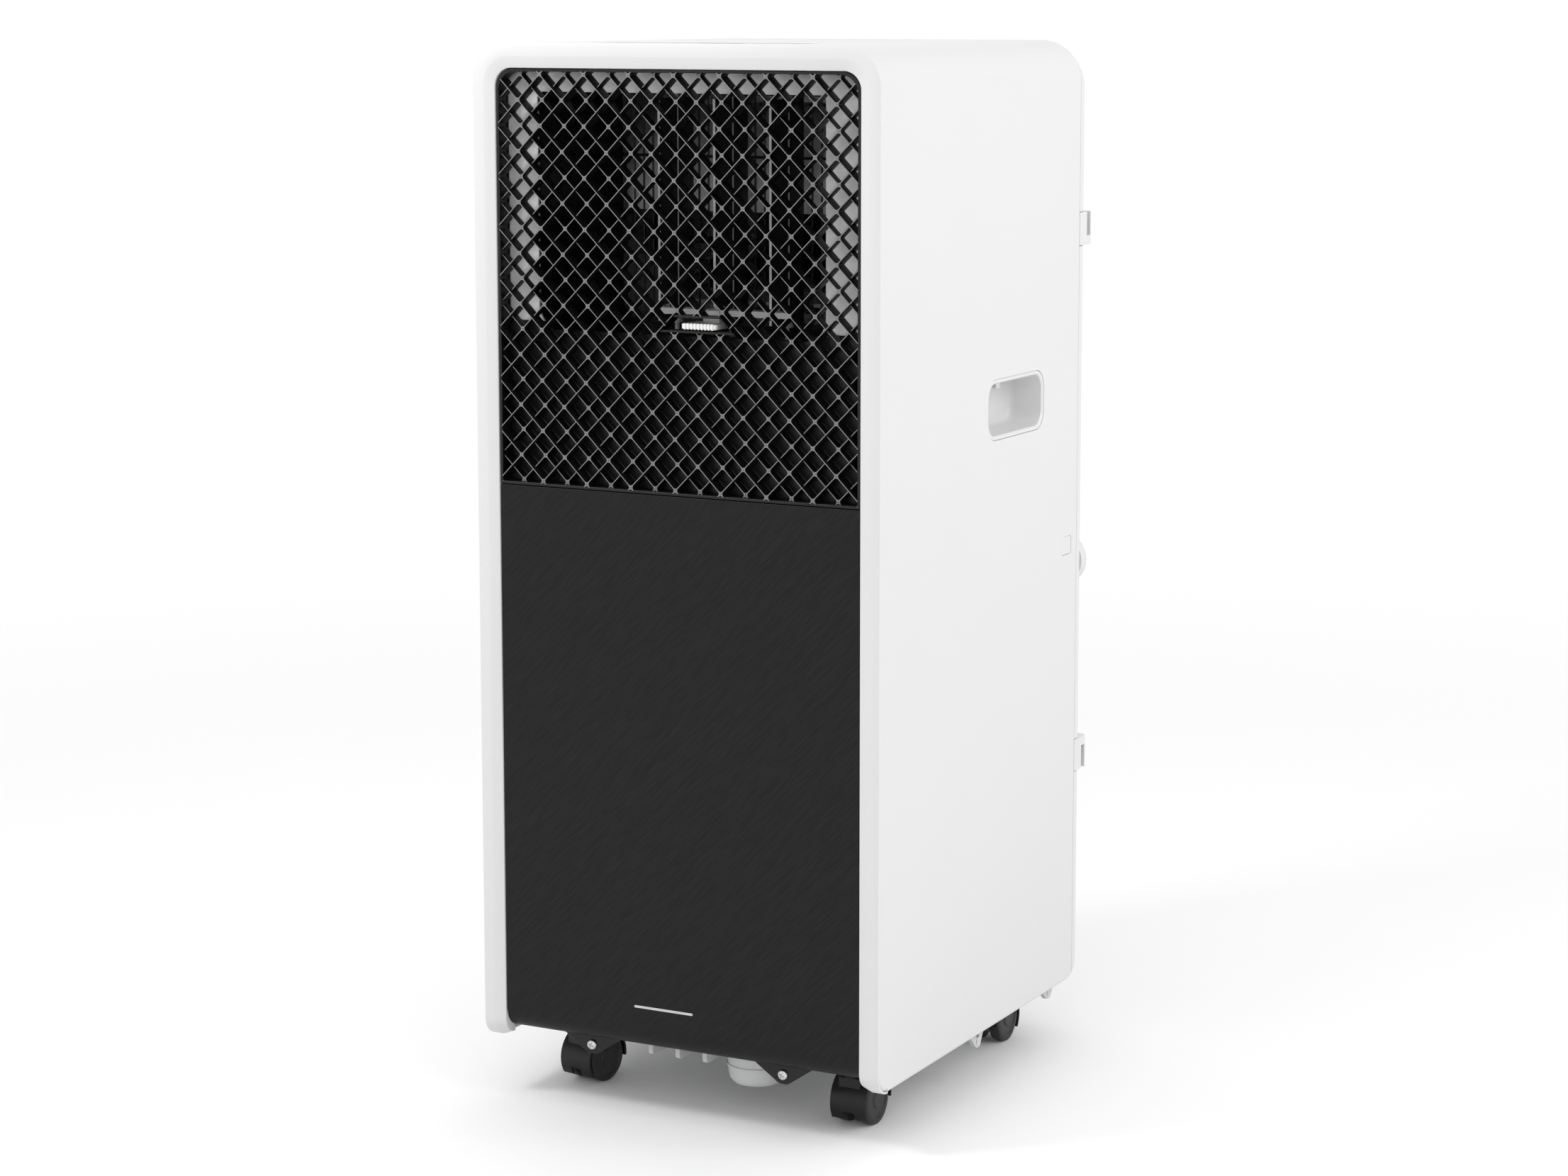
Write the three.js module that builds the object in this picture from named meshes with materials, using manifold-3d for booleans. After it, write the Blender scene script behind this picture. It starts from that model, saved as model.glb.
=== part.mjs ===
// A slim portable air conditioner on four casters, in millimetres, +Z up, front facing -Y.
// The origin is on the floor, under the middle of the whole machine.
import * as THREE from 'three';
import { mergeVertices } from 'three/addons/utils/BufferGeometryUtils.js';
import Module from 'manifold-3d';

const wasm = await Module();
wasm.setup();

// ---------------------------------------------------------------- driving dimensions
const WIDTH = 295;
const DEPTH = 325;
const TOP_Z = 705;
const BOTTOM_Z = 40;              // the casing's lower edge, over the floor
const REAR_REACH = 12;            // the cord hooks stand this far behind the casing
const WALL = 2.5;                 // casing wall
const GAP = 0.4;                  // between pieces that touch on the real machine
const HALF = WIDTH / 2;
const FRONT_Y = -(DEPTH + REAR_REACH) / 2;
const REAR_Y = FRONT_Y + DEPTH;

// casing
const TOP_RADIUS = 26;            // top corners, seen from the front
const FRONT_RADIUS = 14;          // lower front edge, seen from the side
const REAR_RADIUS = 20;           // rear edges, seen from the side
const FOOT_RADIUS = 3;
const SEAM_Y = REAR_Y - 12;       // between the side panels and the rear cover
const SPLIT_X = 118;              // between the side panels and the top cover
const LIP = 1.2;                  // the bezel's edge in front of the side panels
const FLANGE = 7;                 // turned-in lower edge of the casing

// front
const OPENING_HALF = 132.5;       // half the width of the black front
const OPENING_TOP = 689;
const OPENING_RADIUS = 12;
const STRIP = 7;                  // the bezel's sloping inner strip: width
const STRIP_DEPTH = 2.7;          // and depth
const BEZEL_DEPTH = 14;
const PANEL_TOP = 417;
const PANEL_BOTTOM = 47.5;
const PANEL_SKIN = 2.5;
const ROLL = [12, 16];            // depth and height of the front panel's rolled lower edge
const LUG_X = 72;
const LUG_Y = FRONT_Y + 14;
const LUG_TIP_Z = 35;
const SCREW_Z = 41.5;

// lattice grille
const GRILLE_DEPTH = 9;
const DIAMOND = 33;               // corner to corner
const BAR = 1.6;
const RIM = 2;
const LEVER_X = 16.5;
const LEVER_SLOT_Z = [524, 532.5];
const LEVER_SLOT_HALF = 26;

// air outlet
const OUTLET_X = [-109, 101];
const OUTLET_Z = [519.5, 673.5];
const OUTLET_RADIUS = 15;
const SURROUND_Y = FRONT_Y + 17;
const BACKING_TOP = 524;
const DUCT_REAR = FRONT_Y + 92;
const DUCT_WALL = 2;
const GUARD_PITCH = 22;

// vanes
const VANE_X = [-25.5, 15, 55.5];
const VANE_PIVOT_Y = FRONT_Y + 52;
const VANE_ARM = 20;              // from the pivot forward to the link's pin
const VANE_CHORD = [-23, 22];     // front and rear edges, from the pivot
const VANE_Z = [527, 670];
const VANE_THICKNESS = 2.4;
const PIN_RADIUS = 1.5;
const LINK_Z = [532, 536];
const LINK_X = [-29, 70];

// handles, measured from the front of the casing
const HANDLE_Y = [FRONT_Y + 160.5, FRONT_Y + 254];
const HANDLE_Z = [442.5, 483.5];
const HANDLE_RADIUS = 13;
const HANDLE_DEPTH = 28;

// rear
const HOOK_Z = [202, 575];
const HOOK_HEIGHT = 23;
const CAP_X = 127.5;
const CAP_Z = 340;
const CAP_RADIUS = 19;
const CAP_PROUD = 11.5;
const PORT_X = 20;
const PORT_Z = 132;
const PORT_RADIUS = 60;
const UPPER_FILTER = { x: [-118, 118], z: [452, 668] };
const LOWER_FILTER = { x: [-118, 97], z: [222, 420] };
const FILTER_DEPTH = 6;
const SLOT_PITCH = 14;
const PLUG_X = -92;
const PLUG_Z = 76;
const GLAND_X = -108;
const GLAND_Z = 150;

// base and casters
const PAN_Z = 43.2;
const PAN_HEIGHT = 24;
const CASTER_X = 103;
const CASTER_Y = [FRONT_Y + 57, FRONT_Y + 282];
const CASTER_TURN = { front_left: -10, front_right: 0, rear_left: 168, rear_right: 180 };
const WHEEL_RADIUS = 16.5;
const WHEEL_SIDES = 28;
const AXLE_Z = WHEEL_RADIUS * Math.cos(Math.PI / WHEEL_SIDES);   // a flat of the tread is on the floor
const WHEEL_TRAIL = 8;
const WHEEL_SPAN = [4, 13];
const STEM_RADIUS = 4;

// top
const PANEL_Y = [FRONT_Y + 30, FRONT_Y + 76];
const PANEL_HALF = 78;
const BUTTON_Y = PANEL_Y[0] + 14;
const BUTTON_RADIUS = 5;
const BUTTON_TRAVEL = 1.2;
const WINDOW = { x: [-16, 16], y: [PANEL_Y[0] + 26, PANEL_Y[0] + 40] };
const BUTTONS = { power: -52, mode: -26, speed: 0, up: 26, down: 52 };

// ---------------------------------------------------------------- solids
const ARC_STEPS = 5;
const FULL = 2 * Math.PI;

function roundedRect([x0, x1], [y0, y1], radii = 0) {
  const [lowLeft, lowRight, topRight, topLeft] = Array.isArray(radii) ? radii : Array(4).fill(radii);
  const shape = new THREE.Shape();
  shape.moveTo(x0 + lowLeft, y0);
  shape.lineTo(x1 - lowRight, y0);
  if (lowRight) shape.absarc(x1 - lowRight, y0 + lowRight, lowRight, -Math.PI / 2, 0);
  shape.lineTo(x1, y1 - topRight);
  if (topRight) shape.absarc(x1 - topRight, y1 - topRight, topRight, 0, Math.PI / 2);
  shape.lineTo(x0 + topLeft, y1);
  if (topLeft) shape.absarc(x0 + topLeft, y1 - topLeft, topLeft, Math.PI / 2, Math.PI);
  shape.lineTo(x0, y0 + lowLeft);
  if (lowLeft) shape.absarc(x0 + lowLeft, y0 + lowLeft, lowLeft, Math.PI, 1.5 * Math.PI);
  return shape;
}

function polygon(points) {
  return new THREE.Shape(points.map(([x, y]) => new THREE.Vector2(x, y)));
}

function solid(geometry) {
  geometry.deleteAttribute('normal');
  geometry.deleteAttribute('uv');
  const merged = mergeVertices(geometry, 1e-4);
  const vertProperties = new Float32Array(merged.attributes.position.array);
  const triVerts = new Uint32Array(merged.index.array);
  return new wasm.Manifold(new wasm.Mesh({ numProp: 3, vertProperties, triVerts }));
}

// Extrudes a shape drawn in the plane across the axis: (y, z) for x, (x, z) for y, (x, y) for z.
function extrude(axis, shape, [low, high]) {
  const geometry = new THREE.ExtrudeGeometry(shape, {
    depth: high - low,
    bevelEnabled: false,
    curveSegments: ARC_STEPS,
  });
  const unit = {
    x: new THREE.Vector3(1, 0, 0),
    y: new THREE.Vector3(0, 1, 0),
    z: new THREE.Vector3(0, 0, 1),
  };
  const basis = new THREE.Matrix4();
  if (axis === 'x') basis.makeBasis(unit.y, unit.z, unit.x).setPosition(low, 0, 0);
  if (axis === 'y') basis.makeBasis(unit.x, unit.z, unit.y.clone().negate()).setPosition(0, high, 0);
  if (axis === 'z') basis.setPosition(0, 0, low);
  geometry.applyMatrix4(basis);
  return solid(geometry);
}

function box(x, y, z) {
  return extrude('z', roundedRect(x, y), z);
}

function cylinder(axis, [u, v], radius, span, sides = 24) {
  const points = Array.from({ length: sides }, (_, i) => {
    const angle = (FULL * (i + 0.5)) / sides;
    return [u + radius * Math.cos(angle), v + radius * Math.sin(angle)];
  });
  return extrude(axis, polygon(points), span);
}

// Turns an (r, z) profile about a vertical axis through (x, y).
function lathe(profile, [x, y], sides = 24) {
  const points = profile.map(([r, z]) => new THREE.Vector2(r, z));
  const geometry = new THREE.LatheGeometry(points, sides);
  geometry.rotateX(Math.PI / 2);
  geometry.translate(x, y, 0);
  return solid(geometry);
}

function join(...solids) {
  return solids.reduce((whole, next) => whole.add(next));
}

function cut(whole, ...tools) {
  return tools.reduce((rest, tool) => rest.subtract(tool), whole);
}

function around(centre, half) {
  return [centre - half, centre + half];
}

function shrink([low, high], by) {
  return [low + by, high - by];
}

function range(count) {
  return Array.from({ length: count }, (_, i) => i);
}

// ---------------------------------------------------------------- materials
const PAINTS = {
  white: { color: 0xf4f4f3, roughness: 0.4, metalness: 0 },
  charcoal: { color: 0x2c2c2e, roughness: 0.5, metalness: 0 },
  black: { color: 0x111112, roughness: 0.45, metalness: 0 },
  grey: { color: 0xb4b6b8, roughness: 0.5, metalness: 0 },
  lever: { color: 0xe6e6e4, roughness: 0.45, metalness: 0 },
  glossy: { color: 0x08080a, roughness: 0.12, metalness: 0 },
  steel: { color: 0xb9bbbe, roughness: 0.3, metalness: 1 },
  fins: { color: 0xc6c9cc, roughness: 0.4, metalness: 1 },
  copper: { color: 0xb06a42, roughness: 0.35, metalness: 1 },
  enamel: { color: 0x17181a, roughness: 0.3, metalness: 0.2 },
  rubber: { color: 0x1a1a1a, roughness: 0.8, metalness: 0 },
};

const machine = new THREE.Group();
const paints = Object.fromEntries(
  Object.entries(PAINTS).map(([name, look]) => [name, new THREE.MeshStandardMaterial(look)]),
);

function place(name, body, paint, parent = machine) {
  const mesh = body.getMesh();
  const geometry = new THREE.BufferGeometry();
  geometry.setAttribute('position', new THREE.BufferAttribute(mesh.vertProperties, 3));
  geometry.setIndex(new THREE.BufferAttribute(mesh.triVerts, 1));
  geometry.computeVertexNormals();
  const piece = new THREE.Mesh(geometry, paints[paint]);
  piece.name = name;
  parent.add(piece);
}

// ---------------------------------------------------------------- casing
// The casing's outside, moved in by an inset: its front outline crossed with its side outline.
function envelope(inset, frontInset = inset) {
  const less = (radius) => Math.max(radius - inset, 0.5);
  const foot = less(FOOT_RADIUS);
  const front = roundedRect(
    [-HALF + inset, HALF - inset],
    [BOTTOM_Z + inset, TOP_Z - inset],
    [foot, foot, less(TOP_RADIUS), less(TOP_RADIUS)],
  );
  const side = roundedRect(
    [FRONT_Y + frontInset, REAR_Y - inset],
    [BOTTOM_Z + inset, TOP_Z - inset],
    [less(FRONT_RADIUS), less(REAR_RADIUS), less(REAR_RADIUS), 0.5],
  );
  const across = extrude('y', front, [FRONT_Y - 4 * WALL, REAR_Y + WALL]);
  return across.intersect(extrude('x', side, [-HALF - 1, HALF + 1]));
}

function casingShell() {
  const underside = box(around(0, HALF - FLANGE), [FRONT_Y - 1, REAR_Y - REAR_RADIUS], [0, BOTTOM_Z + 9]);
  return cut(envelope(0), envelope(WALL, -WALL), underside);
}

function frontBezel() {
  const lip = envelope(0).intersect(box(around(0, HALF), [FRONT_Y, FRONT_Y + LIP], [0, TOP_Z]));
  const inside = envelope(WALL + GAP, 0);
  const depth = [FRONT_Y + LIP / 2, FRONT_Y + BEZEL_DEPTH];
  const frame = inside.intersect(box(around(0, HALF), depth, [0, TOP_Z]));
  return cut(join(lip, frame), bezelOpening());
}

// The hole in the bezel: a funnel under the sloping inner strip, then a straight throat.
function bezelOpening() {
  const slope = STRIP / STRIP_DEPTH;
  const ring = (depth) => {
    const out = slope * Math.max(STRIP_DEPTH - depth, 0);
    const corner = OPENING_RADIUS + out;
    return roundedRect(around(0, OPENING_HALF + out), [0, OPENING_TOP + out], [0, 0, corner, corner])
      .extractPoints(ARC_STEPS)
      .shape.map((point) => [point.x, FRONT_Y + depth, point.y]);
  };
  return loft(ring(-1), ring(STRIP_DEPTH), ring(BEZEL_DEPTH + 1));
}

// A closed solid through outlines that have the same number of points, front to back.
function loft(...rings) {
  const count = rings[0].length;
  const last = (rings.length - 1) * count;
  const flat = rings[0].map(([x, , z]) => new THREE.Vector2(x, z));
  const caps = THREE.ShapeUtils.triangulateShape(flat, []);
  const faces = caps.flatMap(([a, b, c]) => [[a, b, c], [c + last, b + last, a + last]]);
  range(last).forEach((i) => {
    const next = i % count === count - 1 ? i + 1 - count : i + 1;
    faces.push([i, i + count, next + count], [i, next + count, next]);
  });
  const geometry = new THREE.BufferGeometry();
  geometry.setAttribute('position', new THREE.Float32BufferAttribute(rings.flat(2), 3));
  geometry.setIndex(faces.flat());
  return solid(geometry);
}

function sidePanel(side) {
  const length = [FRONT_Y + LIP + GAP, SEAM_Y - GAP / 2];
  const region = box(side > 0 ? [SPLIT_X, HALF] : [-HALF, -SPLIT_X], length, [BOTTOM_Z, TOP_Z]);
  const handle = extrude('x', roundedRect(HANDLE_Y, HANDLE_Z, HANDLE_RADIUS), around(side * HALF, 8));
  const panel = cut(casingShell().intersect(region), handle);
  return side > 0 ? cut(panel, sidePlug(GAP)) : panel;
}

// A small cover over a screw, near the rear edge of the right side.
function sidePlug(grow) {
  const y = around(REAR_Y - 29.5, 8.5 + grow);
  const z = around(355.5, 6.5 + grow);
  return extrude('x', roundedRect(y, z, 3), [HALF - WALL - 1 - grow, HALF + grow]);
}

function handleCup(side) {
  const outer = roundedRect(shrink(HANDLE_Y, GAP), shrink(HANDLE_Z, GAP), HANDLE_RADIUS - GAP);
  const inner = roundedRect(shrink(HANDLE_Y, 4), shrink(HANDLE_Z, 4), HANDLE_RADIUS - 4);
  const span = side > 0 ? [HALF - HANDLE_DEPTH, HALF - 0.2] : [-HALF + 0.2, -HALF + HANDLE_DEPTH];
  const hollow = side > 0 ? [span[0] + WALL, HALF + 1] : [-HALF - 1, span[1] - WALL];
  return cut(extrude('x', outer, span), extrude('x', inner, hollow));
}

function topCover() {
  const length = [FRONT_Y + LIP + GAP, SEAM_Y - GAP / 2];
  const region = box(around(0, SPLIT_X - GAP), length, [TOP_Z - 12, TOP_Z]);
  const opening = extrude('z', roundedRect(around(0, PANEL_HALF), PANEL_Y, 6), [TOP_Z - 6, TOP_Z + 1]);
  return cut(casingShell().intersect(region), opening);
}

function rearCover() {
  const region = box(around(0, HALF), [SEAM_Y + GAP / 2, REAR_Y], [BOTTOM_Z, TOP_Z]);
  const through = [REAR_Y - WALL - 1, REAR_Y + 1];
  const window = ({ x, z }) => extrude('y', roundedRect(x, z, 6), through);
  const windows = [UPPER_FILTER, LOWER_FILTER].map(window);
  const holes = [
    cylinder('y', [PORT_X, PORT_Z], PORT_RADIUS, through, 28),
    cylinder('y', [CAP_X, CAP_Z], CAP_RADIUS - 8, through, 20),
    cylinder('y', [PLUG_X, PLUG_Z], 9, through, 20),
    cylinder('y', [GLAND_X, GLAND_Z], 8, through, 20),
  ];
  const notches = HOOK_Z.map((z) => hookBlock(z, GAP));
  return cut(casingShell().intersect(region), ...windows, ...holes, ...notches);
}

function hookBlock(z, grow) {
  const x = [HALF - 22 - grow, HALF + grow];
  const y = [SEAM_Y + 1 - grow, REAR_Y + REAR_REACH];
  return box(x, y, around(z, HOOK_HEIGHT / 2 + grow));
}

// A hook for winding the mains cord: a block with a throat, open away from the middle.
function cordHook(z) {
  const block = extrude(
    'z',
    roundedRect([HALF - 22, HALF], [SEAM_Y + 1, REAR_Y + REAR_REACH], [0, 0, 5, 3]),
    around(z, HOOK_HEIGHT / 2),
  );
  const outward = Math.sign(z - (HOOK_Z[0] + HOOK_Z[1]) / 2);
  const throat = outward > 0 ? [z - 5, z + HOOK_HEIGHT] : [z - HOOK_HEIGHT, z + 5];
  const slot = box([HALF - 30, HALF + 1], [REAR_Y + 1.5, REAR_Y + 7.5], throat);
  return cut(block, slot);
}

// ---------------------------------------------------------------- front
function frontPanel() {
  const face = FRONT_Y + STRIP_DEPTH + GAP;
  const roll = new THREE.Shape();
  roll.moveTo(face, PANEL_TOP);
  roll.lineTo(face, PANEL_BOTTOM + ROLL[1]);
  roll.absellipse(face + ROLL[0], PANEL_BOTTOM + ROLL[1], ...ROLL, Math.PI, 1.5 * Math.PI);
  roll.lineTo(face + ROLL[1], PANEL_BOTTOM);
  roll.lineTo(face + ROLL[1], PANEL_BOTTOM + PANEL_SKIN);
  const [inX, inZ] = [ROLL[0] - PANEL_SKIN, ROLL[1] - PANEL_SKIN];
  roll.absellipse(face + ROLL[0], PANEL_BOTTOM + ROLL[1], inX, inZ, 1.5 * Math.PI, Math.PI, true);
  roll.lineTo(face + PANEL_SKIN, PANEL_TOP);
  const skin = extrude('x', roll, around(0, OPENING_HALF - GAP));
  return join(skin, ...[-LUG_X, LUG_X].map(screwLug));
}

// The triangular ear under the front panel that a screw holds to the base.
function screwLug(x) {
  const root = PANEL_BOTTOM + 1;
  const ear = polygon([[x - 23, root], [x - 3, LUG_TIP_Z], [x + 3, LUG_TIP_Z], [x + 23, root]]);
  const plate = extrude('y', ear, [LUG_Y, LUG_Y + 3]);
  return cut(plate, cylinder('y', [x, SCREW_Z], 2.1, [LUG_Y - 1, LUG_Y + 4], 16));
}

function panScrew(x) {
  const shank = cylinder('y', [x, SCREW_Z], 1.7, [LUG_Y - 1, LUG_Y + 9], 12);
  const head = cylinder('y', [x, SCREW_Z], 3.5, [LUG_Y - 2.4, LUG_Y - GAP], 20);
  return join(head, shank);
}

function frontGrille() {
  const face = FRONT_Y + STRIP_DEPTH + GAP;
  const depth = [face, face + GRILLE_DEPTH];
  const wide = around(0, OPENING_HALF - GAP);
  const tall = [PANEL_TOP + GAP, OPENING_TOP - GAP];
  const corners = [0, 0, OPENING_RADIUS, OPENING_RADIUS];
  const outline = extrude('y', roundedRect(wide, tall, corners), depth);
  const inside = roundedRect(shrink(wide, RIM), shrink(tall, RIM), corners.map((r) => r && r - RIM));
  const rim = cut(outline, extrude('y', inside, shrink(depth, -1)));
  const lattice = join(...diagonalBars(1, depth), ...diagonalBars(-1, depth)).intersect(outline);
  const slotRim = leverSlot(1.4, depth);
  return cut(join(rim, lattice, slotRim), leverSlot(0, shrink(depth, -1)));
}

function diagonalBars(slope, depth) {
  const half = (BAR / 2) * Math.SQRT2;
  const centre = (PANEL_TOP + OPENING_TOP) / 2;
  const reach = (OPENING_TOP - PANEL_TOP) / 2 + 2;
  return range(17).map((i) => {
    const x = (i - 8) * DIAMOND;
    const bar = [
      [x - slope * reach - half, centre - reach],
      [x - slope * reach + half, centre - reach],
      [x + slope * reach + half, centre + reach],
      [x + slope * reach - half, centre + reach],
    ];
    return extrude('y', polygon(bar), depth);
  });
}

// The slot that the thumb lever moves in: its ends follow the lattice's diagonals.
function leverSlot(grow, depth) {
  const [low, high] = shrink(LEVER_SLOT_Z, -grow);
  const foot = LEVER_SLOT_HALF + grow;
  const head = foot - (high - low);
  const lowEdge = [[LEVER_X - foot, low], [LEVER_X + foot, low]];
  const highEdge = [[LEVER_X + head, high], [LEVER_X - head, high]];
  return extrude('y', polygon([...lowEdge, ...highEdge]), depth);
}

function lowerBacking() {
  const y = SURROUND_Y - 3;
  const plate = box(around(0, OPENING_HALF - 1), [y, y + 2], [PANEL_TOP - 6, BACKING_TOP]);
  return cut(plate, outletPrism(0, [y - 1, y + 3]));
}

function outletSurround() {
  const plate = extrude(
    'y',
    roundedRect(around(0, OPENING_HALF - 1), [BACKING_TOP + GAP, OPENING_TOP + 3], [0, 0, 9, 9]),
    [SURROUND_Y, SURROUND_Y + 2],
  );
  return cut(plate, outletPrism(0, [SURROUND_Y - 1, SURROUND_Y + 3]));
}

function outletPrism(grow, depth) {
  const corners = [OUTLET_RADIUS + grow, OUTLET_RADIUS + grow, 4 + grow, 4 + grow];
  return extrude('y', roundedRect(shrink(OUTLET_X, -grow), shrink(OUTLET_Z, -grow), corners), depth);
}

function outletDuct() {
  const depth = [SURROUND_Y + 2 + GAP, DUCT_REAR];
  const tube = cut(outletPrism(DUCT_WALL, depth), outletPrism(0, shrink(depth, -1)));
  const across = shrink(OUTLET_Z, -9);
  const bores = VANE_X.map((x) => cylinder('z', [x, VANE_PIVOT_Y], PIN_RADIUS + GAP, across, 8));
  return cut(tube, ...bores);
}

function fingerGuard() {
  const depth = [DUCT_REAR + GAP, DUCT_REAR + GAP + 3];
  const rim = cut(outletPrism(DUCT_WALL, depth), outletPrism(-3, shrink(depth, -1)));
  const middle = (OUTLET_X[0] + OUTLET_X[1]) / 2;
  const places = range(9).map((i) => middle + (i - 4) * GUARD_PITCH);
  const uprights = places.map((x) => box(around(x, 1), depth, shrink(OUTLET_Z, 1)));
  const rails = [0.3, 0.72].map((part) => {
    const z = OUTLET_Z[0] + part * (OUTLET_Z[1] - OUTLET_Z[0]);
    return box(shrink(OUTLET_X, 1), depth, around(z, 1));
  });
  return join(rim, ...uprights, ...rails);
}

// ---------------------------------------------------------------- vanes
function vane(x) {
  const chord = VANE_CHORD.map((d) => VANE_PIVOT_Y + d);
  const blade = box(around(x, VANE_THICKNESS / 2), chord, VANE_Z);
  const pinY = VANE_PIVOT_Y - VANE_ARM;
  const notch = box(around(x, 3), [chord[0] - 1, pinY + 8], shrink(LINK_Z, -1.5));
  const pin = cylinder('z', [x, pinY], PIN_RADIUS, shrink(LINK_Z, -3), 8);
  const pivot = cylinder('z', [x, VANE_PIVOT_Y], PIN_RADIUS, [OUTLET_Z[0] - 4, OUTLET_Z[1] + 4], 8);
  return join(cut(blade, notch), pin, pivot);
}

// Slots for the vanes' pins let the bar run straight while the pins swing.
function vaneLink() {
  const pinY = VANE_PIVOT_Y - VANE_ARM;
  const room = PIN_RADIUS + 0.6;
  const outline = roundedRect(LINK_X, [pinY - 5, pinY + 6.5], 1.5);
  const bar = extrude('z', outline, LINK_Z);
  const slots = VANE_X.map((x) => box(around(x, room), [pinY - room, pinY + 2 + room], shrink(LINK_Z, -1)));
  return cut(bar, ...slots);
}

function thumbLever() {
  const rear = VANE_PIVOT_Y - VANE_ARM - 5 - GAP;
  const z = [LEVER_SLOT_Z[0] + 0.8, LEVER_SLOT_Z[0] + 4.8];
  const tongue = extrude('z', roundedRect(around(LEVER_X, 13), [FRONT_Y + 4.5, rear], 2), z);
  const riser = box(around(LEVER_X, 6), [rear - 5, rear], [z[0], LINK_Z[1]]);
  return join(tongue, riser);
}

// ---------------------------------------------------------------- top controls
function controlPanel() {
  const outline = roundedRect(around(0, PANEL_HALF - GAP), shrink(PANEL_Y, GAP), 6 - GAP);
  const plate = extrude('z', outline, [TOP_Z - 3.2, TOP_Z - GAP]);
  const through = [TOP_Z - 4, TOP_Z];
  const hole = (x) => cylinder('z', [x, BUTTON_Y], BUTTON_RADIUS + GAP, through, 20);
  return cut(plate, box(WINDOW.x, WINDOW.y, through), ...Object.values(BUTTONS).map(hole));
}

function displayWindow() {
  return box(shrink(WINDOW.x, GAP), shrink(WINDOW.y, GAP), [TOP_Z - 2.8, TOP_Z - 0.5]);
}

function pushButton(x) {
  const centre = [x, BUTTON_Y];
  const cap = cylinder('z', centre, BUTTON_RADIUS, [TOP_Z - 5.4, TOP_Z - 0.3], 20);
  const collar = cylinder('z', centre, BUTTON_RADIUS + 1.5, [TOP_Z - 5.4, TOP_Z - 3.7], 20);
  return join(cap, collar);
}

function electronicsBox() {
  return box(around(0, 80), [PANEL_Y[0] - 4, PANEL_Y[1] + 4], [OUTLET_Z[1] + 6, TOP_Z - 6 - BUTTON_TRAVEL]);
}

// ---------------------------------------------------------------- rear fittings
function filterFrame({ x, z }, depth) {
  const plate = extrude('y', roundedRect(shrink(x, GAP), shrink(z, GAP), 6 - GAP), depth);
  const middle = (x[0] + x[1]) / 2;
  const columns = [[x[0] + 8, middle - 3], [middle + 3, x[1] - 8]];
  const rows = Math.floor((z[1] - z[0] - 16) / SLOT_PITCH);
  const slots = range(rows).flatMap((i) => {
    const low = z[0] + 10 + i * SLOT_PITCH;
    return columns.map((column) => box(column, shrink(depth, -1), [low, low + SLOT_PITCH / 2]));
  });
  return cut(plate, ...slots);
}

function exhaustDuct() {
  const depth = [REAR_Y - 62, REAR_Y - WALL - GAP];
  const tube = cylinder('y', [PORT_X, PORT_Z], PORT_RADIUS + 3, depth, 28);
  return cut(tube, cylinder('y', [PORT_X, PORT_Z], PORT_RADIUS, shrink(depth, -1), 28));
}

function drainCap() {
  const disc = cylinder('y', [CAP_X, CAP_Z], CAP_RADIUS, [REAR_Y + GAP, REAR_Y + CAP_PROUD], 28);
  const stem = cylinder('y', [CAP_X, CAP_Z], CAP_RADIUS - 9, [REAR_Y - 9, REAR_Y + 1], 20);
  return join(disc, stem);
}

function drainPlug() {
  const disc = cylinder('y', [PLUG_X, PLUG_Z], 12, [REAR_Y + GAP, REAR_Y + 5], 24);
  const stem = cylinder('y', [PLUG_X, PLUG_Z], 8.4, [REAR_Y - 9, REAR_Y + 1], 20);
  return join(disc, stem);
}

function cordGland() {
  const collar = cylinder('y', [GLAND_X, GLAND_Z], 11, [REAR_Y + GAP, REAR_Y + 7], 20);
  const stem = cylinder('y', [GLAND_X, GLAND_Z], 7.4, [REAR_Y - 8, REAR_Y + 1], 20);
  const bore = cylinder('y', [GLAND_X, GLAND_Z], 3.8, [REAR_Y - 9, REAR_Y + 8], 16);
  return cut(join(collar, stem), bore);
}

// ---------------------------------------------------------------- cooling machinery
function blowerHousing() {
  const depth = [OUTLET_X[0] + 2, OUTLET_X[1] - 2];
  const outline = (inset) => {
    const drum = cylinder('x', [BLOWER.y, BLOWER.z], BLOWER.radius + 10 - inset, shrink(depth, inset), 28);
    const throat = box(shrink(depth, inset), [DUCT_REAR + 4, BLOWER.y], [OUTLET_Z[0] + inset, BLOWER.z]);
    return join(drum, throat);
  };
  const mouth = box(shrink(depth, WALL), [DUCT_REAR, DUCT_REAR + 8], [OUTLET_Z[0] + WALL, BLOWER.z - WALL]);
  const inlets = cylinder('x', [BLOWER.y, BLOWER.z], BLOWER.radius * 0.7, [depth[0] - 1, depth[1] + 1], 28);
  return cut(outline(0), outline(WALL), mouth, inlets);
}

const BLOWER = { y: FRONT_Y + 168, z: 594, radius: 58, half: 80, blades: 16 };

function blowerWheel() {
  const { y, z, radius, half, blades } = BLOWER;
  const disc = (r, span) => cylinder('x', [y, z], r, span, 24);
  const ring = (x) => cut(disc(radius, [x, x + 3]), disc(radius - 9, [x - 1, x + 4]));
  const rings = [-half, half - 3].map(ring);
  const blade = box(around(0, half - 1), [y + radius - 8, y + radius - 1], around(z, 0.9));
  const turned = range(blades).map((i) => aboutX(blade, [y, z], (360 * i) / blades));
  const web = disc(radius - 4, around(0, 1.5));
  const shaft = cylinder('x', [y, z], 4, [-half - 44, half], 12);
  return join(...rings, ...turned, web, shaft);
}

function aboutX(body, [y, z], degrees) {
  return body.translate([0, -y, -z]).rotate([degrees, 0, 0]).translate([0, y, z]);
}

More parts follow.
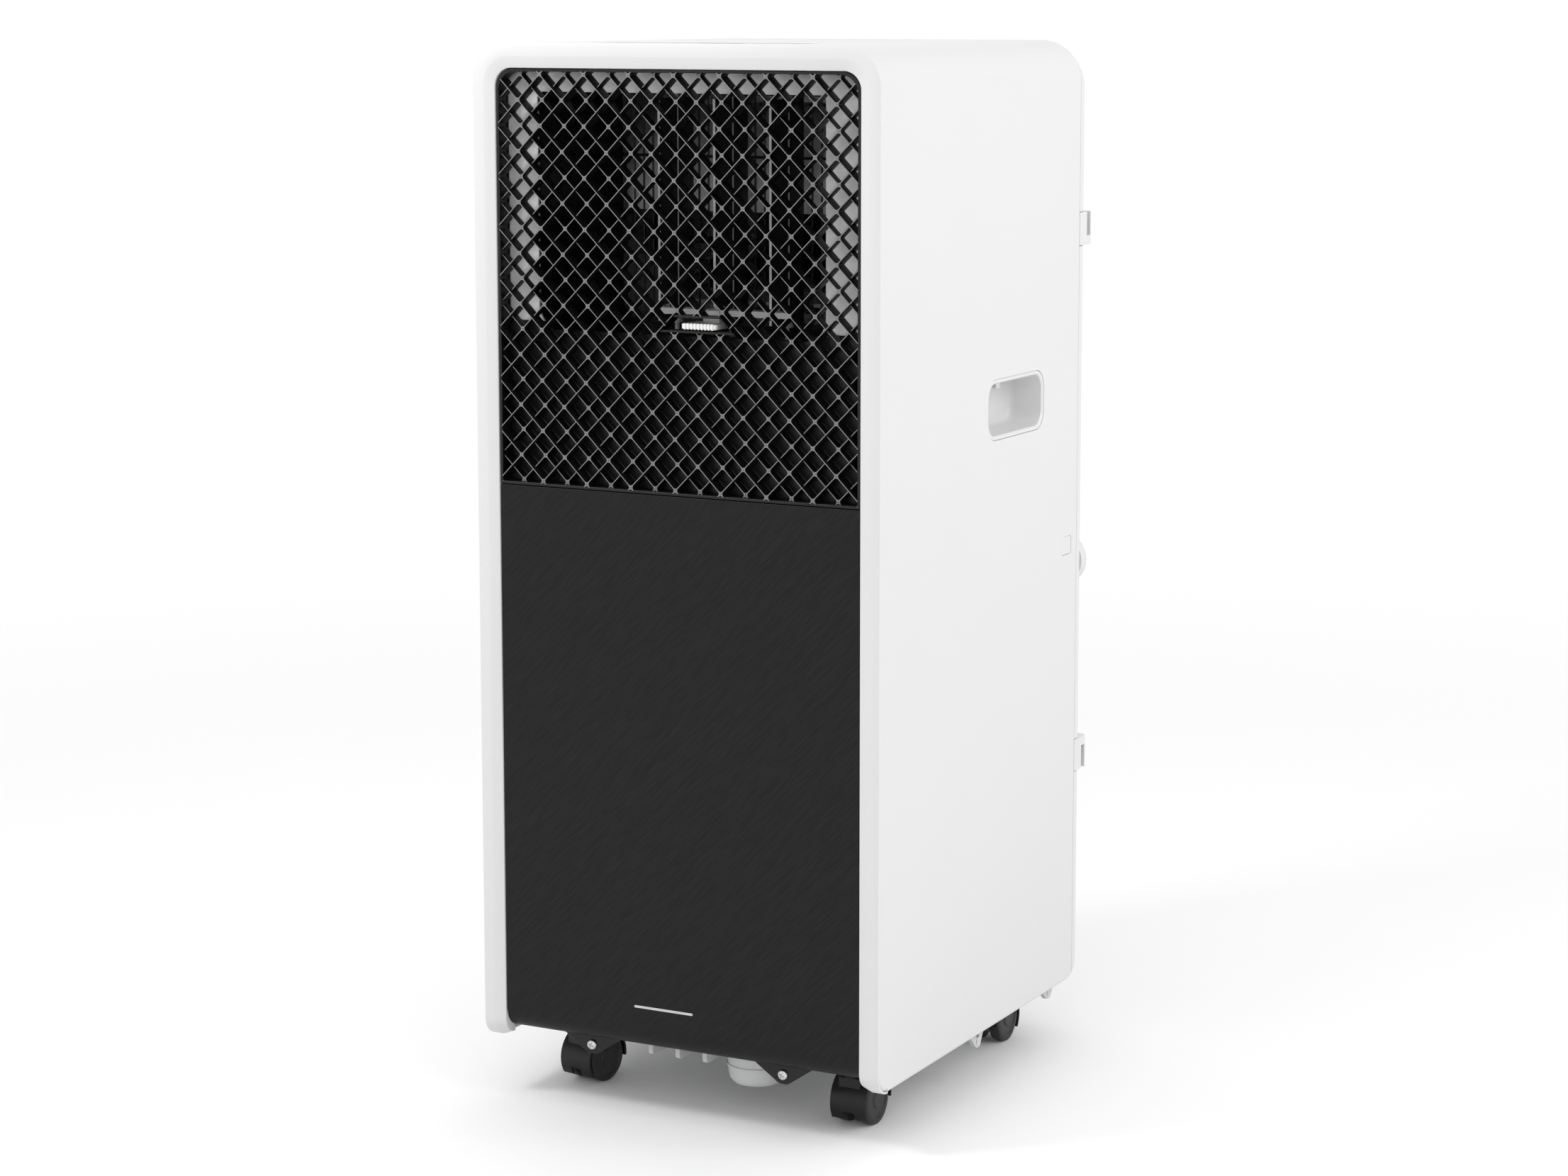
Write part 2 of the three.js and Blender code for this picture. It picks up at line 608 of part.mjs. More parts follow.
function blowerMotor() {
  const can = cylinder('x', [BLOWER.y, BLOWER.z], 34, [-HALF + 6, OUTLET_X[0] - 1], 28);
  return cut(can, cylinder('x', [BLOWER.y, BLOWER.z], 4.5, [-HALF + 12, OUTLET_X[0]], 12));
}

const FAN = { x: 20, z: 318, y: [FRONT_Y + 206, FRONT_Y + 246], radius: 82, blades: 9 };

function condenserFan() {
  const { x, z, y, radius, blades } = FAN;
  const hub = cylinder('y', [x, z], 24, y, 24);
  const blade = box([x + 20, x + radius], around((y[0] + y[1]) / 2, 1.2), around(z, 16));
  const turned = range(blades).map((i) =>
    blade
      .translate([-x, -(y[0] + y[1]) / 2, -z])
      .rotate([32, 0, 0])
      .rotate([0, (360 * i) / blades, 0])
      .translate([x, (y[0] + y[1]) / 2, z]));
  const shaft = cylinder('y', [x, z], 4, [y[0] - 20, y[0] + 1], 12);
  return join(hub, ...turned, shaft);
}

function fanMotor() {
  const can = cylinder('y', [FAN.x, FAN.z], 34, [FAN.y[0] - 52, FAN.y[0] - 6], 28);
  return cut(can, cylinder('y', [FAN.x, FAN.z], 4.5, [FAN.y[0] - 24, FAN.y[0]], 12));
}

// A shroud round the fan, with a bridge that carries its motor.
function fanShroud() {
  const depth = [FAN.y[0] - 3, FAN.y[1] + 4];
  const outer = cylinder('y', [FAN.x, FAN.z], FAN.radius + 6, depth, 36);
  const ring = cut(outer, cylinder('y', [FAN.x, FAN.z], FAN.radius + 3, shrink(depth, -1), 36));
  const bridge = box(around(FAN.x, FAN.radius + 4), [depth[0] - 3, depth[0] + 1], around(FAN.z, 6));
  return join(ring, cut(bridge, cylinder('y', [FAN.x, FAN.z], 7, [depth[0] - 4, depth[0] + 2], 16)));
}

// A finned block with the ends of its tubes.
function coil(x, y, z, bends) {
  const block = box(x, y, z);
  const pitch = (z[1] - z[0]) / bends;
  const middle = (y[0] + y[1]) / 2;
  const loops = range(bends).map((i) => {
    const centre = z[0] + (i + 0.5) * pitch;
    return box([x[1] - 2, x[1] + 8], around(middle, 3), around(centre, pitch * 0.3));
  });
  return join(block, ...loops);
}

function compressor() {
  const [x, y] = [-62, FRONT_Y + 112];
  const foot = [[0, 72], [40, 74], [52, 86], [54, 100]];
  const dome = [[54, 232], [50, 252], [34, 266], [14, 271], [0, 272]];
  const profile = [...foot, ...dome];
  const feet = cylinder('z', [x, y], 66, [70.5, 74.5], 3);
  return join(lathe(profile, [x, y], 20), feet);
}

function accumulator() {
  const profile = [[0, 90], [14, 94], [20, 104], [20, 196], [14, 206], [4, 210], [4, 240], [0, 240]];
  return lathe(profile, [22, FRONT_Y + 96], 12);
}

function dripTray() {
  const x = around(0, 112);
  const y = [FRONT_Y + 24, REAR_Y - 36];
  const tray = box(x, y, [430, 448]);
  return cut(tray, box(shrink(x, 3), shrink(y, 3), [433, 450]));
}

// ---------------------------------------------------------------- base and casters
function basePan() {
  const y = [FRONT_Y + 22, REAR_Y - WALL - 2];
  const region = box(around(0, HALF), y, [PAN_Z, PAN_Z + PAN_HEIGHT]);
  const tray = envelope(WALL + GAP).intersect(region);
  const pocket = box(around(0, HALF - 7), [y[0] + 3, REAR_Y - 10], [PAN_Z + 3, PAN_Z + PAN_HEIGHT + 1]);
  const rib = (x) => box(around(x, 1.6), [FRONT_Y + 26, FRONT_Y + 90], [PAN_Z - 7, PAN_Z + 1]);
  const ribs = [-34, -13.5, 7].map(rib);
  const profile = [[0, 21], [15, 21], [19, 25], [20.5, PAN_Z + 1], [0, PAN_Z + 1]];
  const sump = lathe(profile, [33, FRONT_Y + 52], 24);
  const lugPair = (side) => [sideLug(side, FRONT_Y + 169, 27), sideLug(side, FRONT_Y + 289, 30)];
  const lugs = [-1, 1].flatMap(lugPair);
  const sockets = casterSpots().map((spot) => cylinder('z', spot, 12, [PAN_Z, PAN_Z + 18], 16));
  const bore = (spot) => cylinder('z', spot, STEM_RADIUS + 0.5, [PAN_Z - 1, PAN_Z + 16], 12);
  const bores = casterSpots().map(bore);
  return cut(join(cut(tray, pocket), ...ribs, sump, ...lugs, ...sockets), ...bores);
}

function sideLug(side, y, tip) {
  const x = side * (HALF - 9);
  const ear = polygon([[y - 20, PAN_Z + 1], [y - 2, tip], [y + 3, tip], [y + 13, PAN_Z + 1]]);
  const plate = extrude('x', ear, around(x, 1.5));
  return cut(plate, cylinder('x', [y, tip + 9], 2, around(x, 3), 12));
}

function casterSpots() {
  return CASTER_Y.flatMap((y) => [-CASTER_X, CASTER_X].map((x) => [x, y]));
}

// The hood turns on its stem: a shroud over both wheels and a web between them.
function casterHood() {
  const centre = [WHEEL_TRAIL, AXLE_Z];
  const span = around(0, WHEEL_SPAN[1] + 0.3);
  const shroud = cut(
    join(
      cylinder('x', centre, WHEEL_RADIUS + 3.2, span, 20),
      box(span, [centre[0] - WHEEL_RADIUS - 3.2, centre[0] + 4], [WHEEL_RADIUS, WHEEL_RADIUS * 2 + 3]),
    ),
    cylinder('x', centre, WHEEL_RADIUS + 1.2, shrink(span, -1), 20),
    box(shrink(span, -1), [centre[0] - 5, centre[0] + 30], [-5, WHEEL_RADIUS]),
    box(shrink(span, -1), [centre[0] - 30, centre[0] + 30], [-5, 6]),
  );
  const web = cylinder('x', centre, WHEEL_RADIUS + 2, around(0, 2.6), 20)
    .intersect(box(around(0, 3), [-30, 30], [6, 60]));
  const boss = cylinder('z', [0, 0], 9, [WHEEL_RADIUS * 2 + 1.5, PAN_Z - 1], 20);
  const stem = cylinder('z', [0, 0], STEM_RADIUS, [WHEEL_RADIUS * 2 + 2, PAN_Z + 14], 12);
  return cut(join(shroud, web, boss, stem), cylinder('x', centre, 2.8, around(0, 5), 12));
}

function casterWheels() {
  const centre = [WHEEL_TRAIL, AXLE_Z];
  const [near, far] = WHEEL_SPAN;
  const tread = (span) => cylinder('x', centre, WHEEL_RADIUS, span, WHEEL_SIDES);
  const treads = [[-far, -near], [near, far]].map(tread);
  return join(...treads, cylinder('x', centre, 2.4, around(0, near + 1), 12));
}

// ---------------------------------------------------------------- assembly
place('front_bezel', frontBezel(), 'white');
place('front_panel', frontPanel(), 'charcoal');
place('front_grille', frontGrille(), 'black');
place('lower_backing', lowerBacking(), 'black');
place('outlet_surround', outletSurround(), 'grey');
place('outlet_duct', outletDuct(), 'black');
place('finger_guard', fingerGuard(), 'black');
place('left_side_panel', sidePanel(-1), 'white');
place('right_side_panel', sidePanel(1), 'white');
place('left_handle_cup', handleCup(-1), 'white');
place('right_handle_cup', handleCup(1), 'white');
place('side_plug', sidePlug(0).intersect(box([0, HALF - 0.1], [0, REAR_Y], [0, TOP_Z])), 'white');
place('top_cover', topCover(), 'white');
place('rear_cover', rearCover(), 'white');
place('upper_cord_hook', cordHook(HOOK_Z[1]), 'white');
place('lower_cord_hook', cordHook(HOOK_Z[0]), 'white');
place('panel_screw_left', panScrew(-LUG_X), 'steel');
place('panel_screw_right', panScrew(LUG_X), 'steel');
place('base_pan', basePan(), 'grey');

place('vane_link', vaneLink(), 'lever');
place('thumb_lever', thumbLever(), 'lever');
VANE_X.forEach((x, i) => place(`vane_${i + 1}`, vane(x), 'black'));

place('control_panel', controlPanel(), 'glossy');
place('display_window', displayWindow(), 'glossy');
place('electronics_box', electronicsBox(), 'enamel');
Object.entries(BUTTONS).forEach(([name, x]) => place(`button_${name}`, pushButton(x), 'grey'));

place('upper_filter', filterFrame(UPPER_FILTER, [REAR_Y - FILTER_DEPTH, REAR_Y]), 'white');
place('lower_filter', filterFrame(LOWER_FILTER, [REAR_Y - FILTER_DEPTH, REAR_Y]), 'white');
place('exhaust_duct', exhaustDuct(), 'grey');
place('drain_cap', drainCap(), 'white');
place('drain_plug', drainPlug(), 'rubber');
place('cord_gland', cordGland(), 'rubber');

place('blower_housing', blowerHousing(), 'grey');
place('blower_wheel', blowerWheel(), 'black');
place('blower_motor', blowerMotor(), 'steel');
place('fan_shroud', fanShroud(), 'grey');
place('condenser_fan', condenserFan(), 'black');
place('fan_motor', fanMotor(), 'steel');
place('evaporator', coil(around(0, 108), [REAR_Y - 44, REAR_Y - 14], [456, 660], 8), 'fins');
place('condenser', coil(around(0, 108), [REAR_Y - 44, REAR_Y - 14], [212, 420], 8), 'copper');
place('compressor', compressor(), 'enamel');
place('accumulator', accumulator(), 'copper');
place('drip_tray', dripTray(), 'grey');

Object.entries(CASTER_TURN).forEach(([corner, degrees]) => {
  const caster = new THREE.Group();
  const x = corner.endsWith('left') ? -CASTER_X : CASTER_X;
  const y = corner.startsWith('front') ? CASTER_Y[0] : CASTER_Y[1];
  caster.position.set(x, y, 0);
  caster.rotation.z = THREE.MathUtils.degToRad(degrees);
  place(`caster_hood_${corner}`, casterHood(), 'black', caster);
  place(`caster_wheels_${corner}`, casterWheels(), 'rubber', caster);
  machine.add(caster);
});

export default machine;
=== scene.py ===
"""A slim portable air conditioner on four casters, on a pale studio floor.

Lengths are in millimetres until a mesh is made; the frame's places come from its CAD nodes.
"""
import math

import bmesh
import bpy
from mathutils import Matrix, Vector


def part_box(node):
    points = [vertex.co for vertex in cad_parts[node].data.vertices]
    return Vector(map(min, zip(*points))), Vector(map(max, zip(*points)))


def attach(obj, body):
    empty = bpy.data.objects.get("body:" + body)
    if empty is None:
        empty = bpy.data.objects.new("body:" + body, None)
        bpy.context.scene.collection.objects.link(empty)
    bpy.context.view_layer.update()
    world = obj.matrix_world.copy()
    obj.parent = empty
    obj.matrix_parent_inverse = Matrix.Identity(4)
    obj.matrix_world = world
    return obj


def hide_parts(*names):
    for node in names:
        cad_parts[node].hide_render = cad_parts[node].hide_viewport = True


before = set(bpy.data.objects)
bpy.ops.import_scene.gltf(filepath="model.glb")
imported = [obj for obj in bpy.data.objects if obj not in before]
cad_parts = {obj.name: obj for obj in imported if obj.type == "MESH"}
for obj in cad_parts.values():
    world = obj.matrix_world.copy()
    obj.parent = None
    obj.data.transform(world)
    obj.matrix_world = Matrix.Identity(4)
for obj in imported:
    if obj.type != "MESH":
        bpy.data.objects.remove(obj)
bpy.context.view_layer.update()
MM = 0.001


def span(node, axis):
    """A CAD node's low and high ends along one axis."""
    low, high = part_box(node)
    index = "xyz".index(axis)
    return low[index] / MM, high[index] / MM


# ---------------------------------------------------------------- camera
CAMERA_AZIMUTH = 27.42
CAMERA_ELEVATION = 8.08
CAMERA_DISTANCE = 2.366
CAMERA_TARGET = Vector((0.0074, 0.0, 0.3986))
CAMERA_LENS = 79.6
CAMERA_SHIFT = (-0.013, -0.06)

# ---------------------------------------------------------------- the casing's size and curves
HALF = span("front_bezel", "x")[1]
FRONT, BEZEL_BACK = span("front_bezel", "y")
REAR = span("rear_cover", "y")[1]
TOP = span("top_cover", "z")[1]
BOTTOM = span("right_side_panel", "z")[0]
SEAM = span("right_side_panel", "y")[1]
SPLIT = span("right_side_panel", "x")[0]
WALL = 2.5
GAP = 0.4
SEAM_GAP = 0.7
LIP = 1.2
TOP_RADIUS = 26
FRONT_RADIUS = 14
REAR_RADIUS = 20
REAR_SIDE_INSET = 4
FOOT_RADIUS = 3
FLANGE = 7

# ---------------------------------------------------------------- front
STRIP_INSET = 8                   # where the bezel starts to slope
OPENING_INSET = 15
OPENING_TOP = 689
OPENING_RADIUS = 12
PANEL_TOP = span("front_panel", "z")[1]
PANEL_BOTTOM = 47.5
PANEL_ROLL = (12, 16)
PANEL_SKIN = 2.5
FACE = span("front_panel", "y")[0]
LUG_X = 72
LUG_Y = FRONT + 14
SCREW_Z = 41.5
BADGE_X = -11
BADGE_Z = 76
GRILLE_TOP = span("front_grille", "z")[1]
GRILLE_BACK = span("front_grille", "y")[1]
DIAMOND = 33
BAR = 1.4
RECESS = 3                        # how far every second bar lies behind the face
RIM = 2
LEVER_X = sum(span("thumb_lever", "x")) / 2
LEVER_SLOT_Z = (524, 532.5)
LEVER_SLOT_HALF = 26
OUTLET_X = (-109, 101)
OUTLET_Z = (519.5, 673.5)
OUTLET_RADII = (15, 15, 4, 4)
WALL_SWEEP = 20
VANES = (1, 2, 3)
VANE_ARM = 20
VANE_THICKNESS = 2.4

# ---------------------------------------------------------------- sides, rear, top, base
HANDLE_Y = (FRONT + 160.5, FRONT + 254)
HANDLE_Z = (442.5, 483.5)
HANDLE_RADIUS = 13
CAP = (127.5, 340)
PORT = (20, 132)
PLUG = (-92, 76)
GLAND = (-108, 150)
BUTTON_Y = FRONT + 44
PAN_Z = 43.2
SUMP = (33, FRONT + 52)
CASTER_X = 103
CASTER_Y = {"front": FRONT + 57, "rear": FRONT + 282}
CASTER_TURN = {"front_left": -10, "front_right": 0, "rear_left": 168, "rear_right": 180}
AXLE_Z = 16.5 * math.cos(math.pi / 28)
WHEEL_TRAIL = 8


# ---------------------------------------------------------------- outlines
def arc(centre, radius, start, end, steps=10):
    """Points of an arc from start to end, in degrees."""
    angles = [math.radians(start + (end - start) * i / steps) for i in range(steps + 1)]
    return [(centre[0] + radius * math.cos(a), centre[1] + radius * math.sin(a)) for a in angles]


def circle(centre, radius, steps=48):
    return arc(centre, radius, 0, 360 - 360 / steps, steps - 1)


def rounded(across, up, radii, steps=8):
    """A rounded rectangle, counterclockwise from its lower left corner."""
    low_left, low_right, top_right, top_left = radii if isinstance(radii, tuple) else (radii,) * 4
    (x0, x1), (y0, y1) = across, up
    return (
        arc((x0 + low_left, y0 + low_left), low_left, 180, 270, steps)
        + arc((x1 - low_right, y0 + low_right), low_right, 270, 360, steps)
        + arc((x1 - top_right, y1 - top_right), top_right, 0, 90, steps)
        + arc((x0 + top_left, y1 - top_left), top_left, 90, 180, steps)
    )


def around(centre, half):
    return centre - half, centre + half


def grown(pair, by):
    return pair[0] - by, pair[1] + by


def steps_between(low, high, count):
    return [low + (high - low) * i / count for i in range(count + 1)]


# ---------------------------------------------------------------- closed skins: (points, faces)
def lift(point, axis, height):
    """Puts a point drawn across an axis at a height along it."""
    u, v = point
    return {"x": (height, u, v), "y": (u, height, v), "z": (u, v, height)}[axis]


def loft(rings, ring_closed=False):
    """A skin through outlines of the same number of points, capped unless it closes on itself."""
    count = len(rings[0])
    faces = []
    last = len(rings) if ring_closed else len(rings) - 1
    for i in range(last):
        here, there = i * count, (i + 1) % len(rings) * count
        for j in range(count):
            k = (j + 1) % count
            faces.append((here + j, here + k, there + k, there + j))
    if not ring_closed:
        faces.append(tuple(reversed(range(count))))
        faces.append(tuple(range((len(rings) - 1) * count, len(rings) * count)))
    return [point for ring in rings for point in ring], faces


def prism(outline, axis, ends):
    return loft([[lift(point, axis, end) for point in outline] for end in ends])


def block(x, y, z):
    return prism([(x[0], y[0]), (x[1], y[0]), (x[1], y[1]), (x[0], y[1])], "z", z)


def revolve(profile, axis, centre, steps=48):
    """Turns (radius, height) points about an axis; the first and last radius may be zero."""
    rings = []
    for radius, height in profile:
        rings.append([lift(point, axis, height) for point in circle(centre, max(radius, 0.01), steps)])
    return loft(rings)


def merge(*skins):
    points, faces = [], []
    for more_points, more_faces in skins:
        start = len(points)
        points.extend(more_points)
        faces.extend(tuple(start + i for i in face) for face in more_faces)
    return points, faces


def moved(skin, matrix):
    points, faces = skin
    return [tuple(matrix @ Vector(point)) for point in points], faces


def mirrored(skin):
    return moved(skin, Matrix.Diagonal((-1, 1, 1, 1)))


# ---------------------------------------------------------------- pieces
def mesh_object(name, skin):
    points, faces = skin
    mesh = bpy.data.meshes.new(name)
    mesh.from_pydata([Vector(point) * MM for point in points], [], faces)
    bm = bmesh.new()
    bm.from_mesh(mesh)
    bmesh.ops.remove_doubles(bm, verts=bm.verts, dist=0.002 * MM)
    bmesh.ops.recalc_face_normals(bm, faces=bm.faces)
    bm.to_mesh(mesh)
    bm.free()
    obj = bpy.data.objects.new(name, mesh)
    bpy.context.scene.collection.objects.link(obj)
    return obj


def carve(obj, cuts):
    """Cuts closed skins, which don't touch each other, out of a piece."""
    tool = mesh_object("cutter", merge(*cuts))
    modifier = obj.modifiers.new("cut", "BOOLEAN")
    modifier.operation = "DIFFERENCE"
    modifier.solver = "EXACT"
    modifier.object = tool
    graph = bpy.context.evaluated_depsgraph_get()
    result = bpy.data.meshes.new_from_object(obj.evaluated_get(graph))
    obj.modifiers.clear()
    obj.data = result
    bpy.data.objects.remove(tool)


def soften(obj, edge, angle=35):
    """Smooth faces between sharp edges, which are rounded over by a small bevel."""
    for polygon in obj.data.polygons:
        polygon.use_smooth = True
    obj.data.set_sharp_from_angle(angle=math.radians(angle))
    if edge:
        bevel = obj.modifiers.new("edges", "BEVEL")
        bevel.width = edge * MM
        bevel.segments = 2
        bevel.limit_method = "ANGLE"
        bevel.angle_limit = math.radians(angle)
        bevel.harden_normals = True


def piece(name, skin, slot, nodes=(), body="casing", edge=0.3, cuts=(), look=None):
    """One piece of the object: its mesh, slot and finish, body, and the CAD nodes it stands for."""
    obj = mesh_object(name, skin)
    if cuts:
        carve(obj, cuts)
    soften(obj, edge)
    obj.data.materials.clear()
    obj.data.materials.append(MATERIALS[look or slot])
    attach(obj, body)
    if nodes:
        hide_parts(*nodes)
    return obj


# ---------------------------------------------------------------- materials
class Look:
    """A procedural material, built up from textures in the object's own space."""

    def __init__(self, name, colour, roughness, metal=0.0, spread=0.03):
        self.material = bpy.data.materials.new(name)
        self.material.use_nodes = True
        self.nodes = self.material.node_tree.nodes
        self.links = self.material.node_tree.links
        self.shader = self.nodes["Principled BSDF"]
        self.shader.inputs["Metallic"].default_value = metal
        self.place = self.nodes.new("ShaderNodeTexCoord").outputs["Object"]
        self.height = None
        self.mottle(colour, roughness, spread)

    def noise(self, scale, detail=3, turn=(0, 0, 0), stretch=(1, 1, 1)):
        """Noise in object space, turned about an axis first and stretched after."""
        turned = self.nodes.new("ShaderNodeMapping")
        turned.inputs["Rotation"].default_value = [math.radians(angle) for angle in turn]
        stretched = self.nodes.new("ShaderNodeMapping")
        stretched.inputs["Scale"].default_value = stretch
        texture = self.nodes.new("ShaderNodeTexNoise")
        texture.inputs["Scale"].default_value = scale
        texture.inputs["Detail"].default_value = detail
        self.links.new(self.place, turned.inputs["Vector"])
        self.links.new(turned.outputs["Vector"], stretched.inputs["Vector"])
        self.links.new(stretched.outputs["Vector"], texture.inputs["Vector"])
        return texture.outputs["Fac"]

    def mapped(self, value, low, high):
        node = self.nodes.new("ShaderNodeMapRange")
        node.inputs["From Min"].default_value = 0.3
        node.inputs["From Max"].default_value = 0.7
        node.inputs["To Min"].default_value = low
        node.inputs["To Max"].default_value = high
        self.links.new(value, node.inputs["Value"])
        return node.outputs["Result"]

    def tinted(self, value, dark, light):
        node = self.nodes.new("ShaderNodeValToRGB")
        node.color_ramp.elements[0].position = 0.3
        node.color_ramp.elements[1].position = 0.7
        node.color_ramp.elements[0].color = (*dark, 1)
        node.color_ramp.elements[1].color = (*light, 1)
        self.links.new(value, node.inputs["Fac"])
        self.links.new(node.outputs["Color"], self.shader.inputs["Base Color"])

    def mottle(self, colour, roughness, spread):
        """Slow drifts of colour and gloss, as on any moulding."""
        value = self.noise(14, 4)
        dark = [channel * (1 - spread) for channel in colour]
        light = [min(channel * (1 + spread), 1) for channel in colour]
        self.tinted(value, dark, light)
        rough = self.mapped(value, roughness - 0.04, roughness + 0.04)
        self.links.new(rough, self.shader.inputs["Roughness"])

    def relief(self, value, strength, depth=0.1):
        """Adds one layer of bump, depth in millimetres."""
        bump = self.nodes.new("ShaderNodeBump")
        bump.inputs["Strength"].default_value = strength
        bump.inputs["Distance"].default_value = depth * MM
        self.links.new(value, bump.inputs["Height"])
        if self.height:
            self.links.new(self.height, bump.inputs["Normal"])
        self.height = bump.outputs["Normal"]
        self.links.new(self.height, self.shader.inputs["Normal"])
        return self

    def texture(self, grain=1400, strength=0.12):
        """The fine spark-eroded texture of a plastic moulding."""
        return self.relief(self.noise(grain, 2), strength, 0.05)

    def painted_front_highlight(self, colour, pale):
        """Faces that look towards the front get a paler colour: a painted highlight for the light on the
        front edges.
        """
        facing = self.nodes.new("ShaderNodeSeparateXYZ")
        normal = self.nodes["Texture Coordinate"].outputs["Normal"]
        self.links.new(normal, facing.inputs["Vector"])
        flipped = self.nodes.new("ShaderNodeMath")
        flipped.operation = "MULTIPLY"
        flipped.inputs[1].default_value = -0.62
        self.links.new(facing.outputs["Y"], flipped.inputs[0])
        self.tinted(flipped.outputs["Value"], colour, pale)
        return self

    def set(self, **values):
        for socket, value in values.items():
            self.shader.inputs[socket.replace("_", " ")].default_value = value
        return self


def charcoal_grain():
    """Short crossing scratches at 45 degrees both ways, moulded into the front panel."""
    look = Look("charcoal_grain", (0.014, 0.014, 0.015), 0.45).set(Specular_IOR_Level=0.14)
    values = []
    for angle in (45, -45):
        value = look.noise(1, 2, (0, angle, 0), (70, 300, 1500))
        look.relief(value, 0.35, 0.08)
        values.append(value)
    look.tinted(values[0], (0.008, 0.008, 0.0085), (0.014, 0.014, 0.0145))
    return look


def coil_fins():
    """Thin aluminium fins on edge, at a close even pitch."""
    look = Look("coil_fins", (0.62, 0.64, 0.66), 0.35, 1.0)
    wave = look.nodes.new("ShaderNodeTexWave")
    wave.inputs["Scale"].default_value = 180
    look.links.new(look.place, wave.inputs["Vector"])
    return look.relief(wave.outputs["Fac"], 1.0, 0.8)


def brushed(name, colour, roughness):
    look = Look(name, colour, roughness, 1.0)
    return look.relief(look.noise(1, 2, (0, 0, 0), (1600, 60, 300)), 0.25, 0.03)


def satin(name, colour, roughness, specular):
    return Look(name, colour, roughness).set(Specular_IOR_Level=specular)


def black_with_painted_highlight(name, specular, colour, pale):
    """Black plastic with a painted highlight on its front-facing edges."""
    return satin(name, BLACK, 0.4, specular).texture(1300, 0.1).painted_front_highlight(colour, pale)


BLACK = (0.004, 0.004, 0.0045)
MATERIALS = {
    "white_casing": Look("white_plastic", (0.63, 0.63, 0.63), 0.4, spread=0.006).texture(1100, 0.1),
    "charcoal_panel": charcoal_grain(),
    "black_plastic": satin("black_plastic", BLACK, 0.35, 0.35).texture(1300, 0.15),
    # The grille bars and vanes get a painted highlight: their front-facing faces are paler than their walls.
    "grille_black": black_with_painted_highlight("grille_black", 0.22, BLACK, (0.26, 0.26, 0.262)),
    "tub_black": satin("tub_black", (0.008, 0.008, 0.0085), 0.25, 0.4).texture(900, 0.1),
    "vane_black": black_with_painted_highlight("vane_black", 0.3, (0.03, 0.03, 0.0305), (0.9, 0.9, 0.9)),
    # The outlet plate's grey is raised nearly to white: painted light, standing in for the light the lattice
    # shades from it.
    "outlet_grey_painted_light": Look("outlet_grey_painted_light", (0.95, 0.95, 0.95), 0.5, spread=0.01).texture(1200, 0.1),
    "grey_plastic": Look("grey_plastic", (0.5, 0.505, 0.51), 0.5).texture(1200, 0.15),
    "lever_white": Look("lever_white", (0.76, 0.76, 0.74), 0.4).texture(1500, 0.1),
    "gloss_black": Look("gloss_black", (0.006, 0.006, 0.007), 0.1).texture(300, 0.02),
    "button_grey": Look("button_grey", (0.5, 0.5, 0.51), 0.4).texture(1500, 0.1),
    "screw_steel": brushed("screw_steel", (0.62, 0.62, 0.63), 0.3),
    "motor_steel": brushed("motor_steel", (0.5, 0.5, 0.51), 0.38),
    "coil_fins": coil_fins(),
    "compressor_enamel": Look("compressor_enamel", (0.012, 0.012, 0.013), 0.25).texture(400, 0.1),
    "accumulator_copper": brushed("accumulator_copper", (0.55, 0.24, 0.12), 0.33),
    "black_rubber": Look("black_rubber", (0.016, 0.016, 0.016), 0.7).texture(1800, 0.3),
    "wheel_rubber": Look("wheel_rubber", (0.013, 0.013, 0.014), 0.5).texture(1500, 0.25),
}
MATERIALS = {slot: look.material for slot, look in MATERIALS.items()}


# ---------------------------------------------------------------- casing
def rear_drop(y):
    """How far the rear rounding has brought the top down, and the foot up, at y."""
    behind = max(y - (REAR - REAR_RADIUS), 0)
    return REAR_RADIUS - math.sqrt(REAR_RADIUS ** 2 - behind ** 2)


def foot_rise(y):
    """How far the foot has risen at y; at the front it stays inside the bezel's rolled legs."""
    ahead = FRONT + FRONT_RADIUS - y
    if ahead <= 0:
        return rear_drop(y)
    return FRONT_RADIUS - math.sqrt(max((FRONT_RADIUS - LIP) ** 2 - ahead ** 2, 0.01))


def side_section(y):
    """The right side panel's wall across the machine at y."""
    top, foot = TOP - rear_drop(y), BOTTOM + foot_rise(y)
    shoulder = (HALF - TOP_RADIUS, top - TOP_RADIUS)
    ankle = (HALF - FOOT_RADIUS, foot + FOOT_RADIUS)
    outer = [(SPLIT, top), *arc(shoulder, TOP_RADIUS, 90, 0, 14), *arc(ankle, FOOT_RADIUS, 0, -90, 4)]
    flange = [(HALF - FLANGE, foot), (HALF - FLANGE, foot + WALL)]
    inner = arc(ankle, FOOT_RADIUS - WALL, -90, 0, 4) + arc(shoulder, TOP_RADIUS - WALL, 0, 90, 14)
    return [lift(point, "y", y) for point in outer + flange + inner + [(SPLIT, top - WALL)]]


def side_panel(side, word):
    roll = [FRONT + LIP + depth for depth in (0.03, 0.5, 1.5, 3, 5, 7.5, 10)]
    foot = [FRONT + FRONT_RADIUS - 0.01, FRONT + FRONT_RADIUS + 0.02]
    stations = roll + foot + steps_between(REAR - REAR_RADIUS, SEAM, 5)
    skin = loft([side_section(y) for y in stations])
    cuts = [prism(rounded(HANDLE_Y, HANDLE_Z, HANDLE_RADIUS), "x", around(HALF, 8))]
    if side > 0:
        cuts.append(prism(rounded(*(grown(pair, 0.08) for pair in plug_outline()), 3), "x", around(HALF, 6)))
    if side < 0:
        skin, cuts = mirrored(skin), [mirrored(cut) for cut in cuts]
    piece(f"{word}_side_shell", skin, "white_casing", [f"{word}_side_panel"], edge=0.35, cuts=cuts)


def plug_outline():
    return span("side_plug", "y"), span("side_plug", "z")


